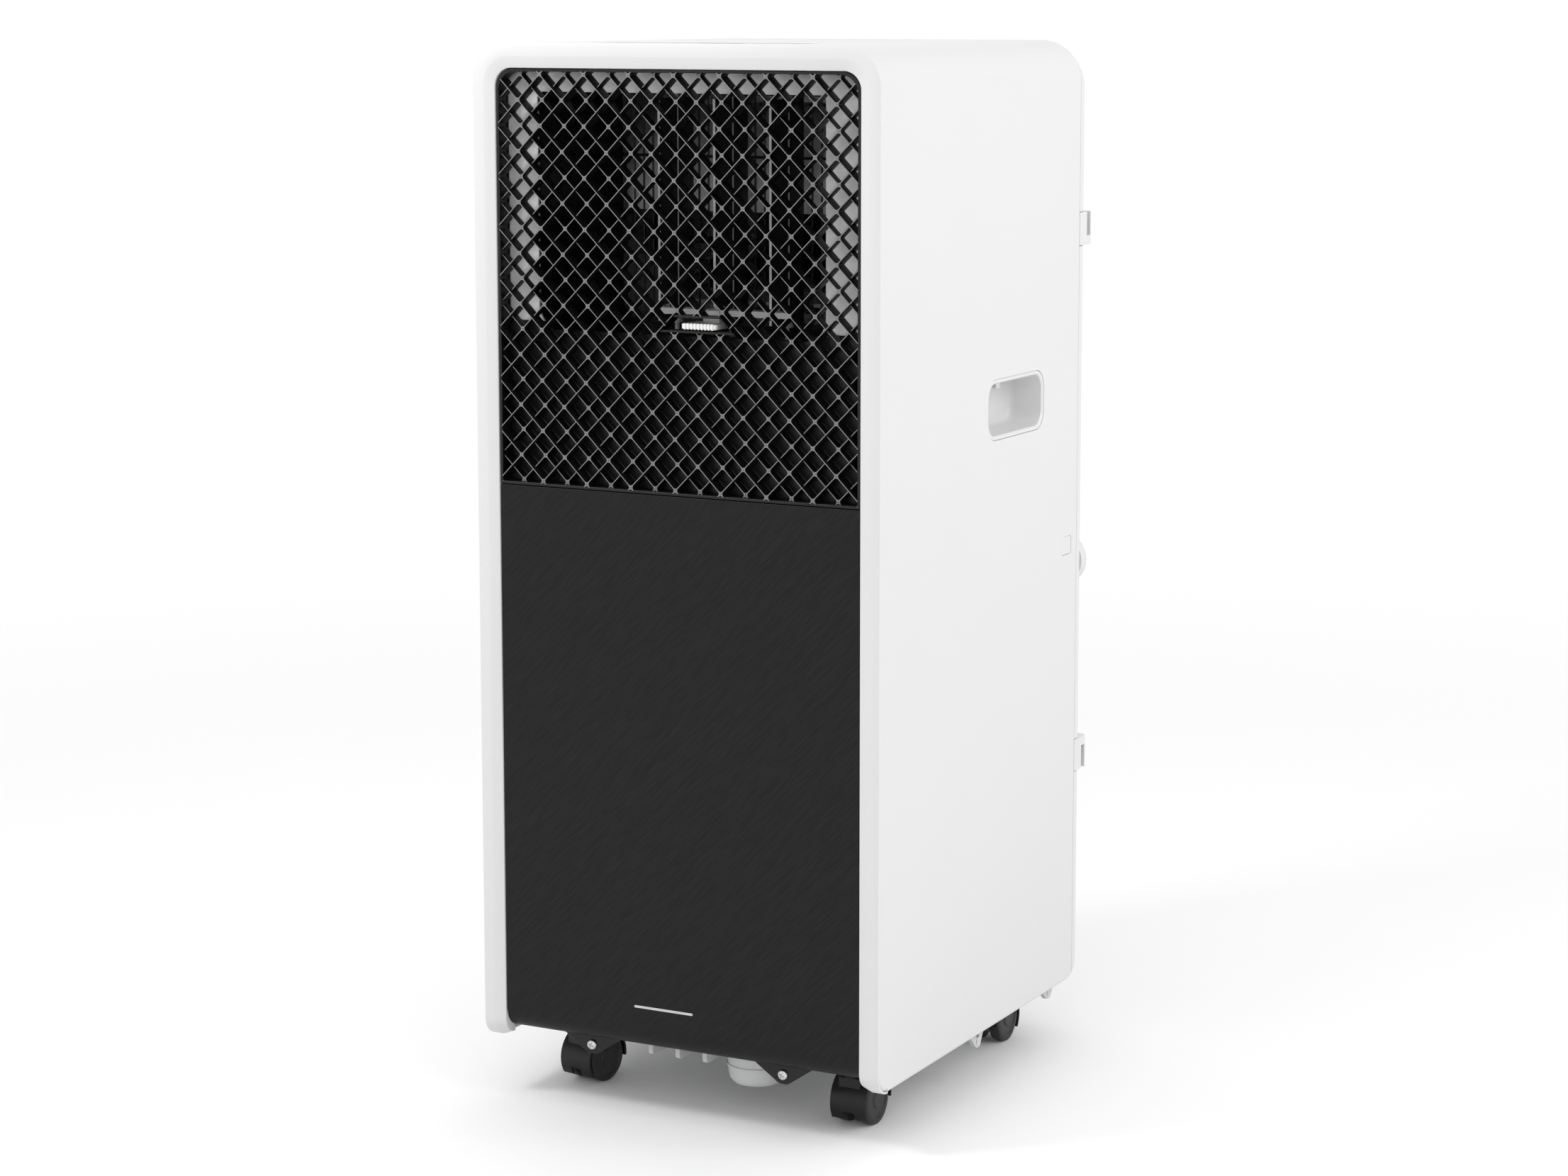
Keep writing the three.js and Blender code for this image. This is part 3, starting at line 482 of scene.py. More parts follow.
def handle_cup(side, word):
    """A recess for the fingers: a fine rim, a fillet all round its floor, and the screw in its roof."""
    mouth, floor = HALF - 0.3, HALF - 28
    rings = [(floor, 0.1), (mouth - 0.5, 0.1), (mouth, 0.5), (mouth, 2.2), (mouth - 0.8, 3.0)]
    rings += [(x, 3.8 + inset) for x, inset in ((floor + 8, 0), (floor + 5, 0.8), (floor + 3.4, 2.6))]
    rings += [(floor + WALL, 6.0 + 3.8)]

    def ring(x, inset):
        outline = rounded(grown(HANDLE_Y, -inset), grown(HANDLE_Z, -inset), HANDLE_RADIUS - inset * 0.7)
        return [lift(point, "x", x) for point in outline]

    skin = loft([ring(x, inset) for x, inset in rings])
    screw_y = HANDLE_Y[0] + 40
    screw = revolve([(0, 474.6), (2.6, 474.8), (3, 475.6), (3, 481)], "z", (HALF - 12, screw_y), 24)
    if side < 0:
        skin, screw = mirrored(skin), mirrored(screw)
    piece(f"{word}_handle_recess", skin, "white_casing", [f"{word}_handle_cup"], edge=0)
    piece(f"{word}_handle_screw", screw, "screw_steel", edge=0)


def side_cover():
    y, z = plug_outline()
    skin = prism(rounded(y, z, 3), "x", span("side_plug", "x"))
    piece("side_cover", skin, "white_casing", ["side_plug"], edge=0.6)


def top_plate():
    """The lid between the side panels, with the hole the controls sit in."""
    rear = steps_between(REAR - REAR_RADIUS, SEAM, 5)
    outer = [(FRONT + LIP + 0.03, TOP)] + [(y, TOP - rear_drop(y)) for y in rear]
    inner = [(y, z - WALL) for y, z in reversed(outer)]
    hole = rounded(*(grown(span("control_panel", axis), GAP) for axis in "xy"), 6)
    skin = prism(outer + inner, "x", span("top_cover", "x"))
    cut = prism(hole, "z", around(TOP, 8))
    piece("top_plate", skin, "white_casing", ["top_cover"], edge=0.35, cuts=[cut])


def rear_ring(degrees, inset):
    """The rear cover's outline where its rounding has turned by some degrees."""
    turned = math.radians(degrees)
    radius = REAR_RADIUS - inset
    y = REAR - REAR_RADIUS + radius * math.sin(turned)
    drop = REAR_RADIUS - radius * math.cos(turned)
    start = math.degrees(math.asin((SEAM + GAP - REAR + REAR_RADIUS) / REAR_RADIUS))
    bend = 1 - math.cos(math.radians(max(degrees - start, 0) / (90 - start) * 90))
    side = HALF - inset - REAR_SIDE_INSET * bend
    top_radius, foot_radius = TOP_RADIUS - 14 * bend - inset * 0.5, FOOT_RADIUS + 7 * bend
    corners = (foot_radius, foot_radius, top_radius, top_radius)
    outline = rounded((-side, side), (BOTTOM + drop, TOP - drop), corners, 10)
    return [lift(point, "y", y) for point in outline]


def rear_cover():
    start = math.degrees(math.asin((SEAM + SEAM_GAP - REAR + REAR_RADIUS) / REAR_RADIUS))
    inner_start = math.degrees(math.asin((SEAM + SEAM_GAP - REAR + REAR_RADIUS) / (REAR_RADIUS - WALL)))
    outer = [rear_ring(degrees, 0) for degrees in steps_between(start, 90, 10)]
    inner = [rear_ring(degrees, WALL) for degrees in steps_between(inner_start, 90, 6)]
    through = (REAR - WALL - 2, REAR + 2)
    windows = [rounded(*(grown(span(node, axis), GAP) for axis in "xz"), 6)
               for node in ("upper_filter", "lower_filter")]
    holes = [circle(PORT, 60, 64), circle(CAP, 11), circle(PLUG, 9), circle(GLAND, 8)]
    cuts = [prism(outline, "y", through) for outline in windows + holes]
    for node in ("upper_cord_hook", "lower_cord_hook"):
        x, y, z = (span(node, axis) for axis in "xyz")
        cuts.append(block((x[0] - GAP, HALF + 2), (SEAM - 1, REAR + 2), grown(z, GAP)))
    skin = loft(list(reversed(inner)) + outer)
    piece("rear_shell", skin, "white_casing", ["rear_cover"], edge=0.35, cuts=cuts)


def bezel_line(inset, depth):
    """One lengthwise line of the bezel: from the foot of one leg over the top to the other."""
    half, top = HALF - inset, TOP - inset * (TOP - OPENING_TOP) / OPENING_INSET
    radius = TOP_RADIUS - inset * (TOP_RADIUS - OPENING_RADIUS) / OPENING_INSET
    leg = arc((FRONT + FRONT_RADIUS, BOTTOM + FRONT_RADIUS), FRONT_RADIUS - depth, 270, 180, 10)
    corner = arc((half - radius, top - radius), radius, 0, 90, 16)
    right = [(half, y, z) for y, z in leg] + [lift(point, "y", FRONT + depth) for point in corner]
    return right + [(-x, y, z) for x, y, z in reversed(right)]


def front_bezel():
    """A flat outer strip with a crisp edge, then a strip that slopes in to the black front."""
    edge = [(0, LIP), (0, 0.3), (0.09, 0.09), (0.3, 0)]
    slope = [(STRIP_INSET - 0.3, 0), (STRIP_INSET + 0.3, 0.12), (14.3, 2.42), (14.8, 2.68)]
    throat = [(OPENING_INSET, 3.1), (OPENING_INSET, BEZEL_BACK - FRONT - 0.05)]
    back = [(2.9, BEZEL_BACK - FRONT - 0.05), (2.9, LIP)]
    lines = [bezel_line(inset, depth) for inset, depth in edge + slope + throat + back]
    piece("front_surround", loft(list(zip(*lines))), "white_casing", ["front_bezel"], edge=0)


# ---------------------------------------------------------------- front
def front_panel():
    depth, height = PANEL_ROLL
    centre = (FACE + depth, PANEL_BOTTOM + height)

    def roll(skin):
        scale = [(depth - skin), (height - skin)]
        return [(centre[0] + scale[0] * u, centre[1] + scale[1] * v) for u, v in arc((0, 0), 1, 180, 270, 12)]

    tail = FACE + height
    outer = [(FACE, PANEL_TOP), *roll(0), (tail, PANEL_BOTTOM), (tail, PANEL_BOTTOM + PANEL_SKIN)]
    inner = list(reversed(roll(PANEL_SKIN))) + [(FACE + PANEL_SKIN, PANEL_TOP)]
    skin = prism(outer + inner, "x", span("front_panel", "x"))
    piece("front_cover", skin, "charcoal_panel", ["front_panel"], edge=0.5)
    root = PANEL_BOTTOM + 1
    for name, x in (("left_lug", -LUG_X), ("right_lug", LUG_X)):
        ear = [(x - 23, root), (x - 4, 35.6), (x - 2.4, 35), (x + 2.4, 35), (x + 4, 35.6), (x + 23, root)]
        hole = prism(circle((x, SCREW_Z), 2.1, 24), "y", around(LUG_Y, 5))
        piece(name, prism(ear, "y", (LUG_Y, LUG_Y + 3)), "black_plastic", edge=0.6, cuts=[hole])
    badge = prism(rounded(around(BADGE_X, 22), around(BADGE_Z, 0.8), 0.79, 4), "y", (FACE - 0.12, FACE + 1))
    piece("front_badge", badge, "button_grey", edge=0)


def panel_screw(x, word):
    """A pan-head screw with a cross recess."""
    head = LUG_Y - 2.4
    dome = [(0, head), (1.5, head + 0.08), (2.6, head + 0.45), (3.3, head + 1.1), (3.5, head + 2)]
    shank = [(1.7, head + 2), (1.7, LUG_Y + 9)]
    screw = revolve(dome + shank, "y", (x, SCREW_Z), 40)
    arm, width = 1.9, 0.42
    corners = [(arm, -width), (arm, width), (width, width), (width, arm)]
    quarters = ((1, 0), (0, 1), (-1, 0), (0, -1))
    turned = [(u * c - v * s, u * s + v * c) for c, s in quarters for u, v in corners]
    cross = prism(turned, "y", (head - 1, head + 1.2))
    spin = Matrix.Translation((x, 0, SCREW_Z)) @ Matrix.Rotation(math.radians(25), 4, "Y")
    recess = moved(cross, spin)
    piece(f"screw_head_{word}", screw, "screw_steel", [f"panel_screw_{word}"], edge=0, cuts=[recess])


def crossing(point, way, outline):
    """The stretch of a line inside a convex counterclockwise outline, as distances along it."""
    low, high = -1e9, 1e9
    for a, b in zip(outline, outline[1:] + outline[:1]):
        inward = (a[1] - b[1], b[0] - a[0])
        gap = inward[0] * (point[0] - a[0]) + inward[1] * (point[1] - a[1])
        rate = inward[0] * way[0] + inward[1] * way[1]
        if abs(rate) < 1e-9:
            if gap < 0:
                return 0, -1
            continue
        if rate > 0:
            low = max(low, -gap / rate)
        else:
            high = min(high, -gap / rate)
    return low, high


def lattice_bar(start, end, front):
    """One diagonal bar: a thin rib on edge, with a narrow front."""
    run = (Vector(end) - Vector(start)).normalized()
    half = BAR / 2
    section = [(-half, GRILLE_BACK)]
    section += [(-half * part, front + depth) for part, depth in ((0.85, 0.8), (0.55, 0.25), (0.36, 0))]
    section += [(-u, y) for u, y in reversed(section)]
    return loft([[(x - run.y * u, y, z + run.x * u) for u, y in section] for x, z in (start, end)])


def crossing_web(x, z, front):
    """The small fillets where two bars cross."""
    half, fillet = BAR / 2 * 0.6, 1.5
    quadrant = arc((half + fillet, half + fillet), fillet, 270, 180, 3)
    outline = []
    for turn in range(4):
        cos, sin = math.cos(math.radians(45 + 90 * turn)), math.sin(math.radians(45 + 90 * turn))
        outline += [(x + u * cos - v * sin, z + u * sin + v * cos) for u, v in quadrant]
    return prism(outline, "y", (front + 0.12, GRILLE_BACK))


def lever_slot(grow):
    low, high = grown(LEVER_SLOT_Z, grow)
    foot = LEVER_SLOT_HALF + grow
    head = foot - (high - low)
    return [(LEVER_X - foot, low), (LEVER_X + foot, low), (LEVER_X + head, high), (LEVER_X - head, high)]


def front_grille():
    """Diagonal ribs both ways; every second one lies a little behind the face."""
    wide, tall = span("front_grille", "x"), (PANEL_TOP + GAP, GRILLE_TOP)
    corners = (1, 1, OPENING_RADIUS, OPENING_RADIUS)
    inside = rounded(grown(wide, -RIM / 2), grown(tall, -RIM / 2), corners)
    window = rounded(grown(wide, -RIM), grown(tall, -RIM), corners)
    slot = lever_slot(0.7)
    middle = (PANEL_TOP + OPENING_TOP) / 2
    skins = []
    reach = range(-17, 18)
    for slope in (1, -1):
        way = (slope * math.sqrt(0.5), math.sqrt(0.5))
        for i in reach:
            origin = (i * DIAMOND / 2, middle)
            front = FACE if i % 2 == 0 else FACE + RECESS
            low, high = crossing(origin, way, inside)
            if high - low < 2:
                continue
            skip = crossing(origin, way, slot)
            parts = [(low, skip[0]), (skip[1], high)] if skip[0] < skip[1] else [(low, high)]
            for ends in parts:
                start, end = ((origin[0] + way[0] * t, origin[1] + way[1] * t) for t in ends)
                skins.append(lattice_bar(start, end, front))
    for i in reach:
        for j in reach:
            if (i + j) % 2:
                continue
            x, z = (i + j) * DIAMOND / 4, middle + (j - i) * DIAMOND / 4
            kept = crossing((x, z), (1, 0), window)
            in_slot = crossing((x, z), (1, 0), lever_slot(3))
            if kept[0] < 0 < kept[1] and abs(z - middle) < (tall[1] - tall[0]) / 2 - RIM:
                if not (in_slot[0] < 0 < in_slot[1] and abs(z - sum(LEVER_SLOT_Z) / 2) < 7):
                    skins.append(crossing_web(x, z, FACE if i % 2 == 0 else FACE + RECESS))
    rims = merge(grille_rim(wide, tall, corners), slot_rim())
    piece("lattice", merge(*skins), "black_plastic", ["front_grille"], edge=0, look="grille_black")
    piece("grille_rims", rims, "black_plastic", edge=0)


def grille_rim(wide, tall, corners):
    rings = []
    for inset, y in ((0.05, GRILLE_BACK), (0.05, FACE + 0.4), (0.35, FACE), (1.5, FACE), (1.9, FACE + 0.4),
                     (RIM, GRILLE_BACK)):
        outline = rounded(grown(wide, -inset), grown(tall, -inset), corners)
        rings.append([lift(point, "y", y) for point in outline])
    return loft(rings, ring_closed=True)


def slot_rim():
    rings = []
    for grow, y in ((1.4, GRILLE_BACK), (1.4, FACE + 0.3), (1.1, FACE), (0.3, FACE), (0, FACE + 0.3),
                    (0, GRILLE_BACK)):
        rings.append([lift(point, "y", y) for point in lever_slot(grow)])
    return loft(rings, ring_closed=True)


# ---------------------------------------------------------------- air outlet
def outlet_ring(grow, y, bulge=0.0):
    radii = tuple(radius + grow for radius in OUTLET_RADII)
    x = (OUTLET_X[0] + bulge - grow, OUTLET_X[1] + grow)
    return [lift(p, "y", y) for p in rounded(x, grown(OUTLET_Z, grow), radii, 10)]


def outlet_surround():
    x, y, z = (span("outlet_surround", axis) for axis in "xyz")
    plate = prism(rounded(x, z, (0.5, 0.5, 9, 9)), "y", y)
    hole = loft([outlet_ring(0, y[0] - 1), outlet_ring(0, y[1] + 1)])
    nodes = ["outlet_surround"]
    # A brighter copy of the grey plastic: painted light in place of the shade behind the lattice.
    piece("outlet_plate", plate, "grey_plastic", nodes, edge=0.4, cuts=[hole], look="outlet_grey_painted_light")


def lower_backing():
    """The black plate under the outlet, whose lower corners round into its top edge."""
    x, y, z = (span("lower_backing", axis) for axis in "xyz")
    plate = prism(rounded(x, z, 0.5, 2), "y", y)
    hole = loft([outlet_ring(0, y[0] - 1), outlet_ring(0, y[1] + 1)])
    piece("backing_plate", plate, "black_plastic", ["lower_backing"], edge=0.3, cuts=[hole])


def outlet_duct():
    """The tub round the vanes; its left wall sweeps in towards the throat."""
    front, rear = span("outlet_duct", "y")
    rings = [outlet_ring(2, rear), outlet_ring(2, front)]
    for y in steps_between(front, rear, 16):
        part = max((y - front) / (rear - front) - 0.25, 0) / 0.75
        rings.append(outlet_ring(0, y, WALL_SWEEP * part ** 2))
    skin = loft(rings, ring_closed=True)
    piece("outlet_tub", skin, "black_plastic", ["outlet_duct"], edge=0, look="tub_black")


def finger_guard():
    """Thin upright wires close together on two rails, across the throat."""
    front, rear = span("finger_guard", "y")
    rings = [outlet_ring(2, rear), outlet_ring(2, front), outlet_ring(-3, front), outlet_ring(-3, rear)]
    skins = [loft(rings, ring_closed=True)]
    z = grown(OUTLET_Z, -1)
    for i in range(29):
        x = OUTLET_X[0] + 7 + i * 7
        skins.append(prism(circle((x, front + 1.5), 0.7, 8), "z", z))
    for part in (0.3, 0.72):
        height = OUTLET_Z[0] + part * (OUTLET_Z[1] - OUTLET_Z[0])
        skins.append(prism(circle((front + 1.5, height), 1, 8), "x", grown(OUTLET_X, -1)))
    piece("guard_wires", merge(*skins), "black_plastic", ["finger_guard"], edge=0)


def vanes():
    for number in VANES:
        node = f"vane_{number}"
        x = sum(span(node, "x")) / 2
        front, rear = span(node, "y")
        half = VANE_THICKNESS / 2
        nose = [(-half, 1), (-half * 0.75, 0), (half * 0.75, 0), (half, 1)]
        outline = [(x + across, front + depth) for across, depth in nose]
        outline += [(x + half, front + 30), *arc((x, rear - 0.6), 0.6, 0, 180, 6), (x - half, front + 30)]
        pin_y = front + 3
        z = (527, 670)
        notch = block(around(x, 5), (front - 2, pin_y + 8), grown(span("vane_link", "z"), 1.5))
        blade = prism(outline, "z", z)
        piece(f"blade_{number}", blade, "black_plastic", [node], node, 0.2, [notch], "vane_black")
        pins = [prism(circle((x, pin_y), 1.5, 20), "z", grown(span("vane_link", "z"), 2))]
        pivot = circle((x, pin_y + VANE_ARM), 1.5, 20)
        pins.append(prism(pivot, "z", span(node, "z")))
        foot = [(4.2, z[0] - 2.6), (4.2, z[0] - 1), (3.2, z[0] + 0.6), (2.4, z[0] + 1.4)]
        pins.append(revolve(foot, "z", (x, pin_y + VANE_ARM), 24))
        piece(f"pivots_{number}", merge(*pins), "lever_white", body=node, edge=0)


def vane_link():
    x, y, z = (span("vane_link", axis) for axis in "xyz")
    pin_y = span("vane_1", "y")[0] + 3
    slots = []
    for number in VANES:
        middle = sum(span(f"vane_{number}", "x")) / 2
        slots.append(block(around(middle, 2.1), (pin_y - 2.1, pin_y + 4.1), grown(z, 1)))
    bar = prism(rounded(x, y, 1.5), "z", z)
    piece("link_bar", bar, "lever_white", ["vane_link"], "louvre_link", 0.4, slots)


def thumb_lever():
    """A flat thumb tongue with grip ribs across its nose, on a riser up to the link bar."""
    x, y, z = (span("thumb_lever", axis) for axis in "xyz")
    tongue_z = (z[0], z[0] + 4)
    skins = [prism(rounded(grown(x, -0.05), (y[0] + 0.6, y[1]), 2), "z", grown(tongue_z, -0.4))]
    for i in range(9):
        rib = x[0] + 3 + i * (x[1] - x[0] - 6) / 8
        skins.append(block(around(rib, 0.6), (y[0], y[0] + 7), tongue_z))
    skins.append(block(around(LEVER_X, 6), (y[1] - 5, y[1]), (z[0] + 0.4, z[1])))
    piece("thumb_tab", merge(*skins), "lever_white", ["thumb_lever"], "louvre_link", 0.2)


# ---------------------------------------------------------------- top controls
BUTTONS = {"power": -52, "mode": -26, "speed": 0, "up": 26, "down": 52}


def control_panel():
    x, y, z = (span("control_panel", axis) for axis in "xyz")
    cuts = [prism(circle((place, BUTTON_Y), 5.4, 40), "z", around(z[1], 6)) for place in BUTTONS.values()]
    frame_hole = rounded(*(grown(span("display_window", axis), GAP) for axis in "xy"), 1)
    cuts.append(prism(frame_hole, "z", around(z[1], 6)))
    plate = prism(rounded(x, y, 5.6), "z", z)
    piece("control_plate", plate, "gloss_black", ["control_panel"], edge=0.3, cuts=cuts)
    wide, deep, tall = (span("display_window", axis) for axis in "xyz")
    window = prism(rounded(wide, deep, 1), "z", tall)
    piece("display_glass", window, "gloss_black", ["display_window"], edge=0.15)
    for name, place in BUTTONS.items():
        node = f"button_{name}"
        top = span(node, "z")[1]
        dish = [(0, -0.5), (2, -0.42), (3.8, -0.1), (4.4, 0), (4.8, -0.15), (5, -0.5)]
        dish = [(radius, top + depth) for radius, depth in dish]
        collar = [(5, top - 3.4), (6.5, top - 3.4), (6.5, top - 5.1), (0, top - 5.1)]
        cap = revolve(dish + collar, "z", (place, BUTTON_Y), 40)
        piece(f"cap_{name}", cap, "button_grey", [node], body=node, edge=0)
    marks = [mark for name, place in BUTTONS.items() for mark in button_mark(name, place, z[1])]
    piece("button_marks", merge(*marks), "button_grey", edge=0)


def button_mark(name, x, top):
    """A plain generic mark in front of each button: ring, dots, bars or an arrow."""
    y, ends = BUTTON_Y - 9.5, (top - 0.3, top + 0.12)
    if name == "power":
        ring = [[lift(p, "z", end) for p in circle((x, y), r, 24)]
                for r, end in ((1.6, ends[0]), (1.6, ends[1]), (1.2, ends[1]), (1.2, ends[0]))]
        return [loft(ring, ring_closed=True)]
    if name == "mode":
        return [prism(circle((x + offset, y), 0.5, 12), "z", ends) for offset in (-1.8, 0, 1.8)]
    if name == "speed":
        return [block(around(x + 1.5 * i, 0.35), (y - 1.4, y - 0.4 + i), ends) for i in (-1, 0, 1)]
    way = 1 if name == "up" else -1
    return [prism([(x - 1.6, y - way), (x + 1.6, y - way), (x, y + 1.4 * way)][::way], "z", ends)]


# ---------------------------------------------------------------- rear fittings
def filters():
    """Pull-out louvred frames in front of the coils, with a finger tab at the top."""
    for word in ("upper", "lower"):
        node = f"{word}_filter"
        x, y, z = (span(node, axis) for axis in "xyz")
        middle = sum(x) / 2
        columns = [(x[0] + 8, middle - 3), (middle + 3, x[1] - 8)]
        tall = (z[0] + 9, z[1] - 14)
        windows = [prism(rounded(column, tall, 2, 4), "y", grown(y, 1)) for column in columns]
        tab = prism(rounded(around(middle, 22), (z[1] - 10, z[1] - 4), 2.9, 6), "y", (y[1] - 1.6, y[1] + 1))
        plate = prism(rounded(x, z, 5.6), "y", y)
        piece(f"{word}_louvre_frame", plate, "white_casing", [node], node, 0.4, windows + [tab])
        slats = []
        rows = int((z[1] - z[0] - 26) / 9)
        for column in columns:
            for i in range(rows):
                low = z[0] + 11 + i * 9
                inner, outer = y[0] + 0.8, y[1] - 0.5
                section = [(inner, low + 4.4), (inner, low + 5.8), (outer, low + 1.6), (outer, low)]
                slats.append(prism(section, "x", grown(column, 0.5)))
        piece(f"{word}_louvres", merge(*slats), "white_casing", (), node, 0.2)


def cord_hook(word):
    node = f"{word}_cord_hook"
    x, y, z = (span(node, axis) for axis in "xyz")
    outline = rounded(x, y, (0.5, 0.5, 5, 3))
    middle = sum(z) / 2
    throat = (middle - 5, z[1] + 5) if word == "upper" else (z[0] - 5, middle + 5)
    cut = block((x[0] - 5, x[1] + 5), (REAR + 1.5, REAR + 7.5), throat)
    piece(f"{word}_hook", prism(outline, "z", z), "white_casing", [node], edge=1.0, cuts=[cut])


def rear_fittings():
    low, high = span("drain_cap", "y")
    face = REAR + GAP
    crown = [(0, 1.2), (13, 1.2), (13.6, 0.4), (16.4, 0), (18.2, 0.7), (19, 2.4)]
    cap = [(radius, high - depth) for radius, depth in crown]
    cap += [(19, face), (10, face), (10, low)]
    grip = prism(rounded(around(CAP[0], 11), around(CAP[1], 2.2), 2.1, 6), "y", (high - 3, high - 0.1))
    disc = merge(revolve(cap, "y", CAP), grip)
    piece("cap_disc", disc, "white_casing", ["drain_cap"], "drain_cap", 0)
    low, high = span("drain_plug", "y")
    plug = [(0, high - 0.8), (6, high - 0.8), (7, high), (11, high), (12, high - 1)]
    plug += [(12, face), (8.4, face), (8.4, low)]
    piece("plug_disc", revolve(plug, "y", PLUG), "black_rubber", ["drain_plug"], "drain_plug", 0)
    low, high = span("cord_gland", "y")
    gland = [(3.8, low), (7.4, low), (7.4, face), (11, face), (11, high - 2), (9, high), (3.8, high)]
    rings = [[lift(p, "y", y) for p in circle(GLAND, r, 40)] for r, y in gland]
    piece("gland_ring", loft(rings, ring_closed=True), "black_rubber", ["cord_gland"], edge=0.2)
    low, high = span("exhaust_duct", "y")
    duct = [(63, low), (63, high), (60, high), (60, high - 8), (59, high - 9), (59, high - 12)]
    duct += [(60, high - 13), (60, low)]
    rings = [[lift(p, "y", y) for p in circle(PORT, r, 64)] for r, y in duct]
    piece("exhaust_tube", loft(rings, ring_closed=True), "grey_plastic", ["exhaust_duct"], edge=0.2)


# ---------------------------------------------------------------- base and casters
def base_pan():
    x, y = span("base_pan", "x"), span("base_pan", "y")
    floor = PAN_Z + 3
    rings = [(12, PAN_Z), (3, PAN_Z + 0.6), (0, PAN_Z + 4), (0, PAN_Z + 24), (4, PAN_Z + 24)]
    rings += [(4, floor + 3), (8, floor)]

    def ring(inset, z):
        return [lift(point, "z", z) for point in rounded(grown(x, -inset), grown(y, -inset), 6)]

    skins = [loft([ring(inset, z) for inset, z in rings])]
    for rib in (-34, -13.5, 7):
        profile = [(FRONT + 26, PAN_Z + 1), *arc((FRONT + 29, PAN_Z - 4), 3, 180, 270, 5)]
        profile += [(FRONT + 90, PAN_Z - 7), (FRONT + 90, PAN_Z + 1)]
        skins.append(prism(profile, "x", around(rib, 1.6)))
    sump = [(0, 21), (13.5, 21), (16, 21.8), (18.4, 24.4), (19.4, 28), (20.4, PAN_Z + 1)]
    skins.append(revolve(sump, "z", SUMP, 64))
    skins.append(revolve([(20.5, 33), (20.5, 34.5), (0, 34.5), (0, 33)], "z", SUMP, 64))
    for side in (-1, 1):
        for place, tip in ((FRONT + 169, 27), (FRONT + 289, 30)):
            skins.append(side_lug(side * (HALF - 9), place, tip))
    socket = [(12, PAN_Z), (12, PAN_Z + 18), (4.5, PAN_Z + 18), (4.5, PAN_Z)]
    for corner in CASTER_TURN:
        skins.append(revolve(socket, "z", caster_place(corner)))
    piece("base_tray", merge(*skins), "grey_plastic", ["base_pan"], edge=0.5)


def side_lug(x, y, tip):
    """A triangular ear with a screw hole, hanging from the base's edge."""
    outline = [(y - 20, PAN_Z + 1), (y - 3, tip + 0.6), (y - 1, tip), (y + 2, tip), (y + 4, tip + 1)]
    outline += [(y + 13, PAN_Z + 1)]
    hole = circle((y, tip + 9), 2.2, len(outline) * 4)
    edge = []
    for a, b in zip(outline, outline[1:] + outline[:1]):
        edge += [(a[0] + (b[0] - a[0]) * k / 4, a[1] + (b[1] - a[1]) * k / 4) for k in range(4)]
    start = max(range(len(edge)), key=lambda i: edge[i][0])
    edge = edge[start:] + edge[:start]
    low, high = x - 1.5, x + 1.5
    rings = [(edge, low), (edge, high), (hole, high), (hole, low)]
    return loft([[lift(p, "x", end) for p in outline] for outline, end in rings], ring_closed=True)


def caster_place(corner):
    row, column = corner.split("_")
    return (-CASTER_X if column == "left" else CASTER_X), CASTER_Y[row]


def caster_frame(corner):
    x, y = caster_place(corner)
    return Matrix.Translation((x, y, 0)) @ Matrix.Rotation(math.radians(CASTER_TURN[corner]), 4, "Z")


def caster(corner):
    """A hood, notched low at the front, with a web between two wheels, on a swivel stem."""
    to_place = caster_frame(corner)
    centre = (WHEEL_TRAIL, AXLE_Z)
    outer, inner = 19.6, 17.8
    reach = (-8, 214)
    arch = arc(centre, outer, *reach, 32) + arc(centre, inner, *reversed(reach), 32)
    web = prism(arc(centre, 17.9, 6, 174, 24), "x", (-1.3, 1.3))
    saddle = prism([(-9, 27), (-9, 34.2), *arc((4, 28), 8, 80, 20, 5)], "x", (-8, 8))
    stem = revolve([(0, 33), (9, 33.5), (9.6, 35.4), (9, 41.8), (4, 42), (4, 56), (0, 57)], "z", (0, 0))
    notch = block((-4, 4), (centre[0] - 24, centre[0] - 10), (0, 11))
    shroud = moved(prism(arch, "x", (-13.2, 13.2)), to_place)
    body = f"caster_{corner}"
    piece(f"shroud_{corner}", shroud, "black_plastic", (), body, 0.7, [moved(notch, to_place)])
    hood = moved(merge(web, saddle, stem), to_place)
    piece(f"hood_{corner}", hood, "black_plastic", [f"caster_hood_{corner}"], body, 0.7)
    wheel = []
    rim = AXLE_Z - 0.02
    for side in (-1, 1):
        profile = [(0, 4.2), (14.5, 4.2), (16, 4.9), (rim, 6.2), (rim, 11.2), (16, 12.3), (14.6, 12.9)]
        profile += [(12.6, 12.9), (12, 12.2), (6, 12.2), (5.2, 12.9), (0, 12.9)]
        wheel.append(revolve([(r, side * x) for r, x in profile], "x", centre, 56))
    wheel.append(prism(circle(centre, 2.4, 20), "x", (-5, 5)))
    pair = moved(merge(*wheel), to_place)
    piece(f"wheels_pair_{corner}", pair, "wheel_rubber", [f"caster_wheels_{corner}"], f"wheels_{corner}", 0)


# ---------------------------------------------------------------- the frame's own nodes that stay
INSIDE = {
    "electronics_box": "black_plastic",
    "blower_housing": "grey_plastic",
    "blower_wheel": "black_plastic",
    "blower_motor": "motor_steel",
    "fan_shroud": "grey_plastic",
    "condenser_fan": "black_plastic",
    "fan_motor": "motor_steel",
    "evaporator": "coil_fins",
    "condenser": "coil_fins",
    "compressor": "compressor_enamel",
    "accumulator": "accumulator_copper",
    "drip_tray": "grey_plastic",
}


def inside():
    for node, slot in INSIDE.items():
        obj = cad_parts[node]
        for index in range(len(obj.material_slots)):
            obj.material_slots[index].link = "OBJECT"
            obj.material_slots[index].material = MATERIALS[slot]


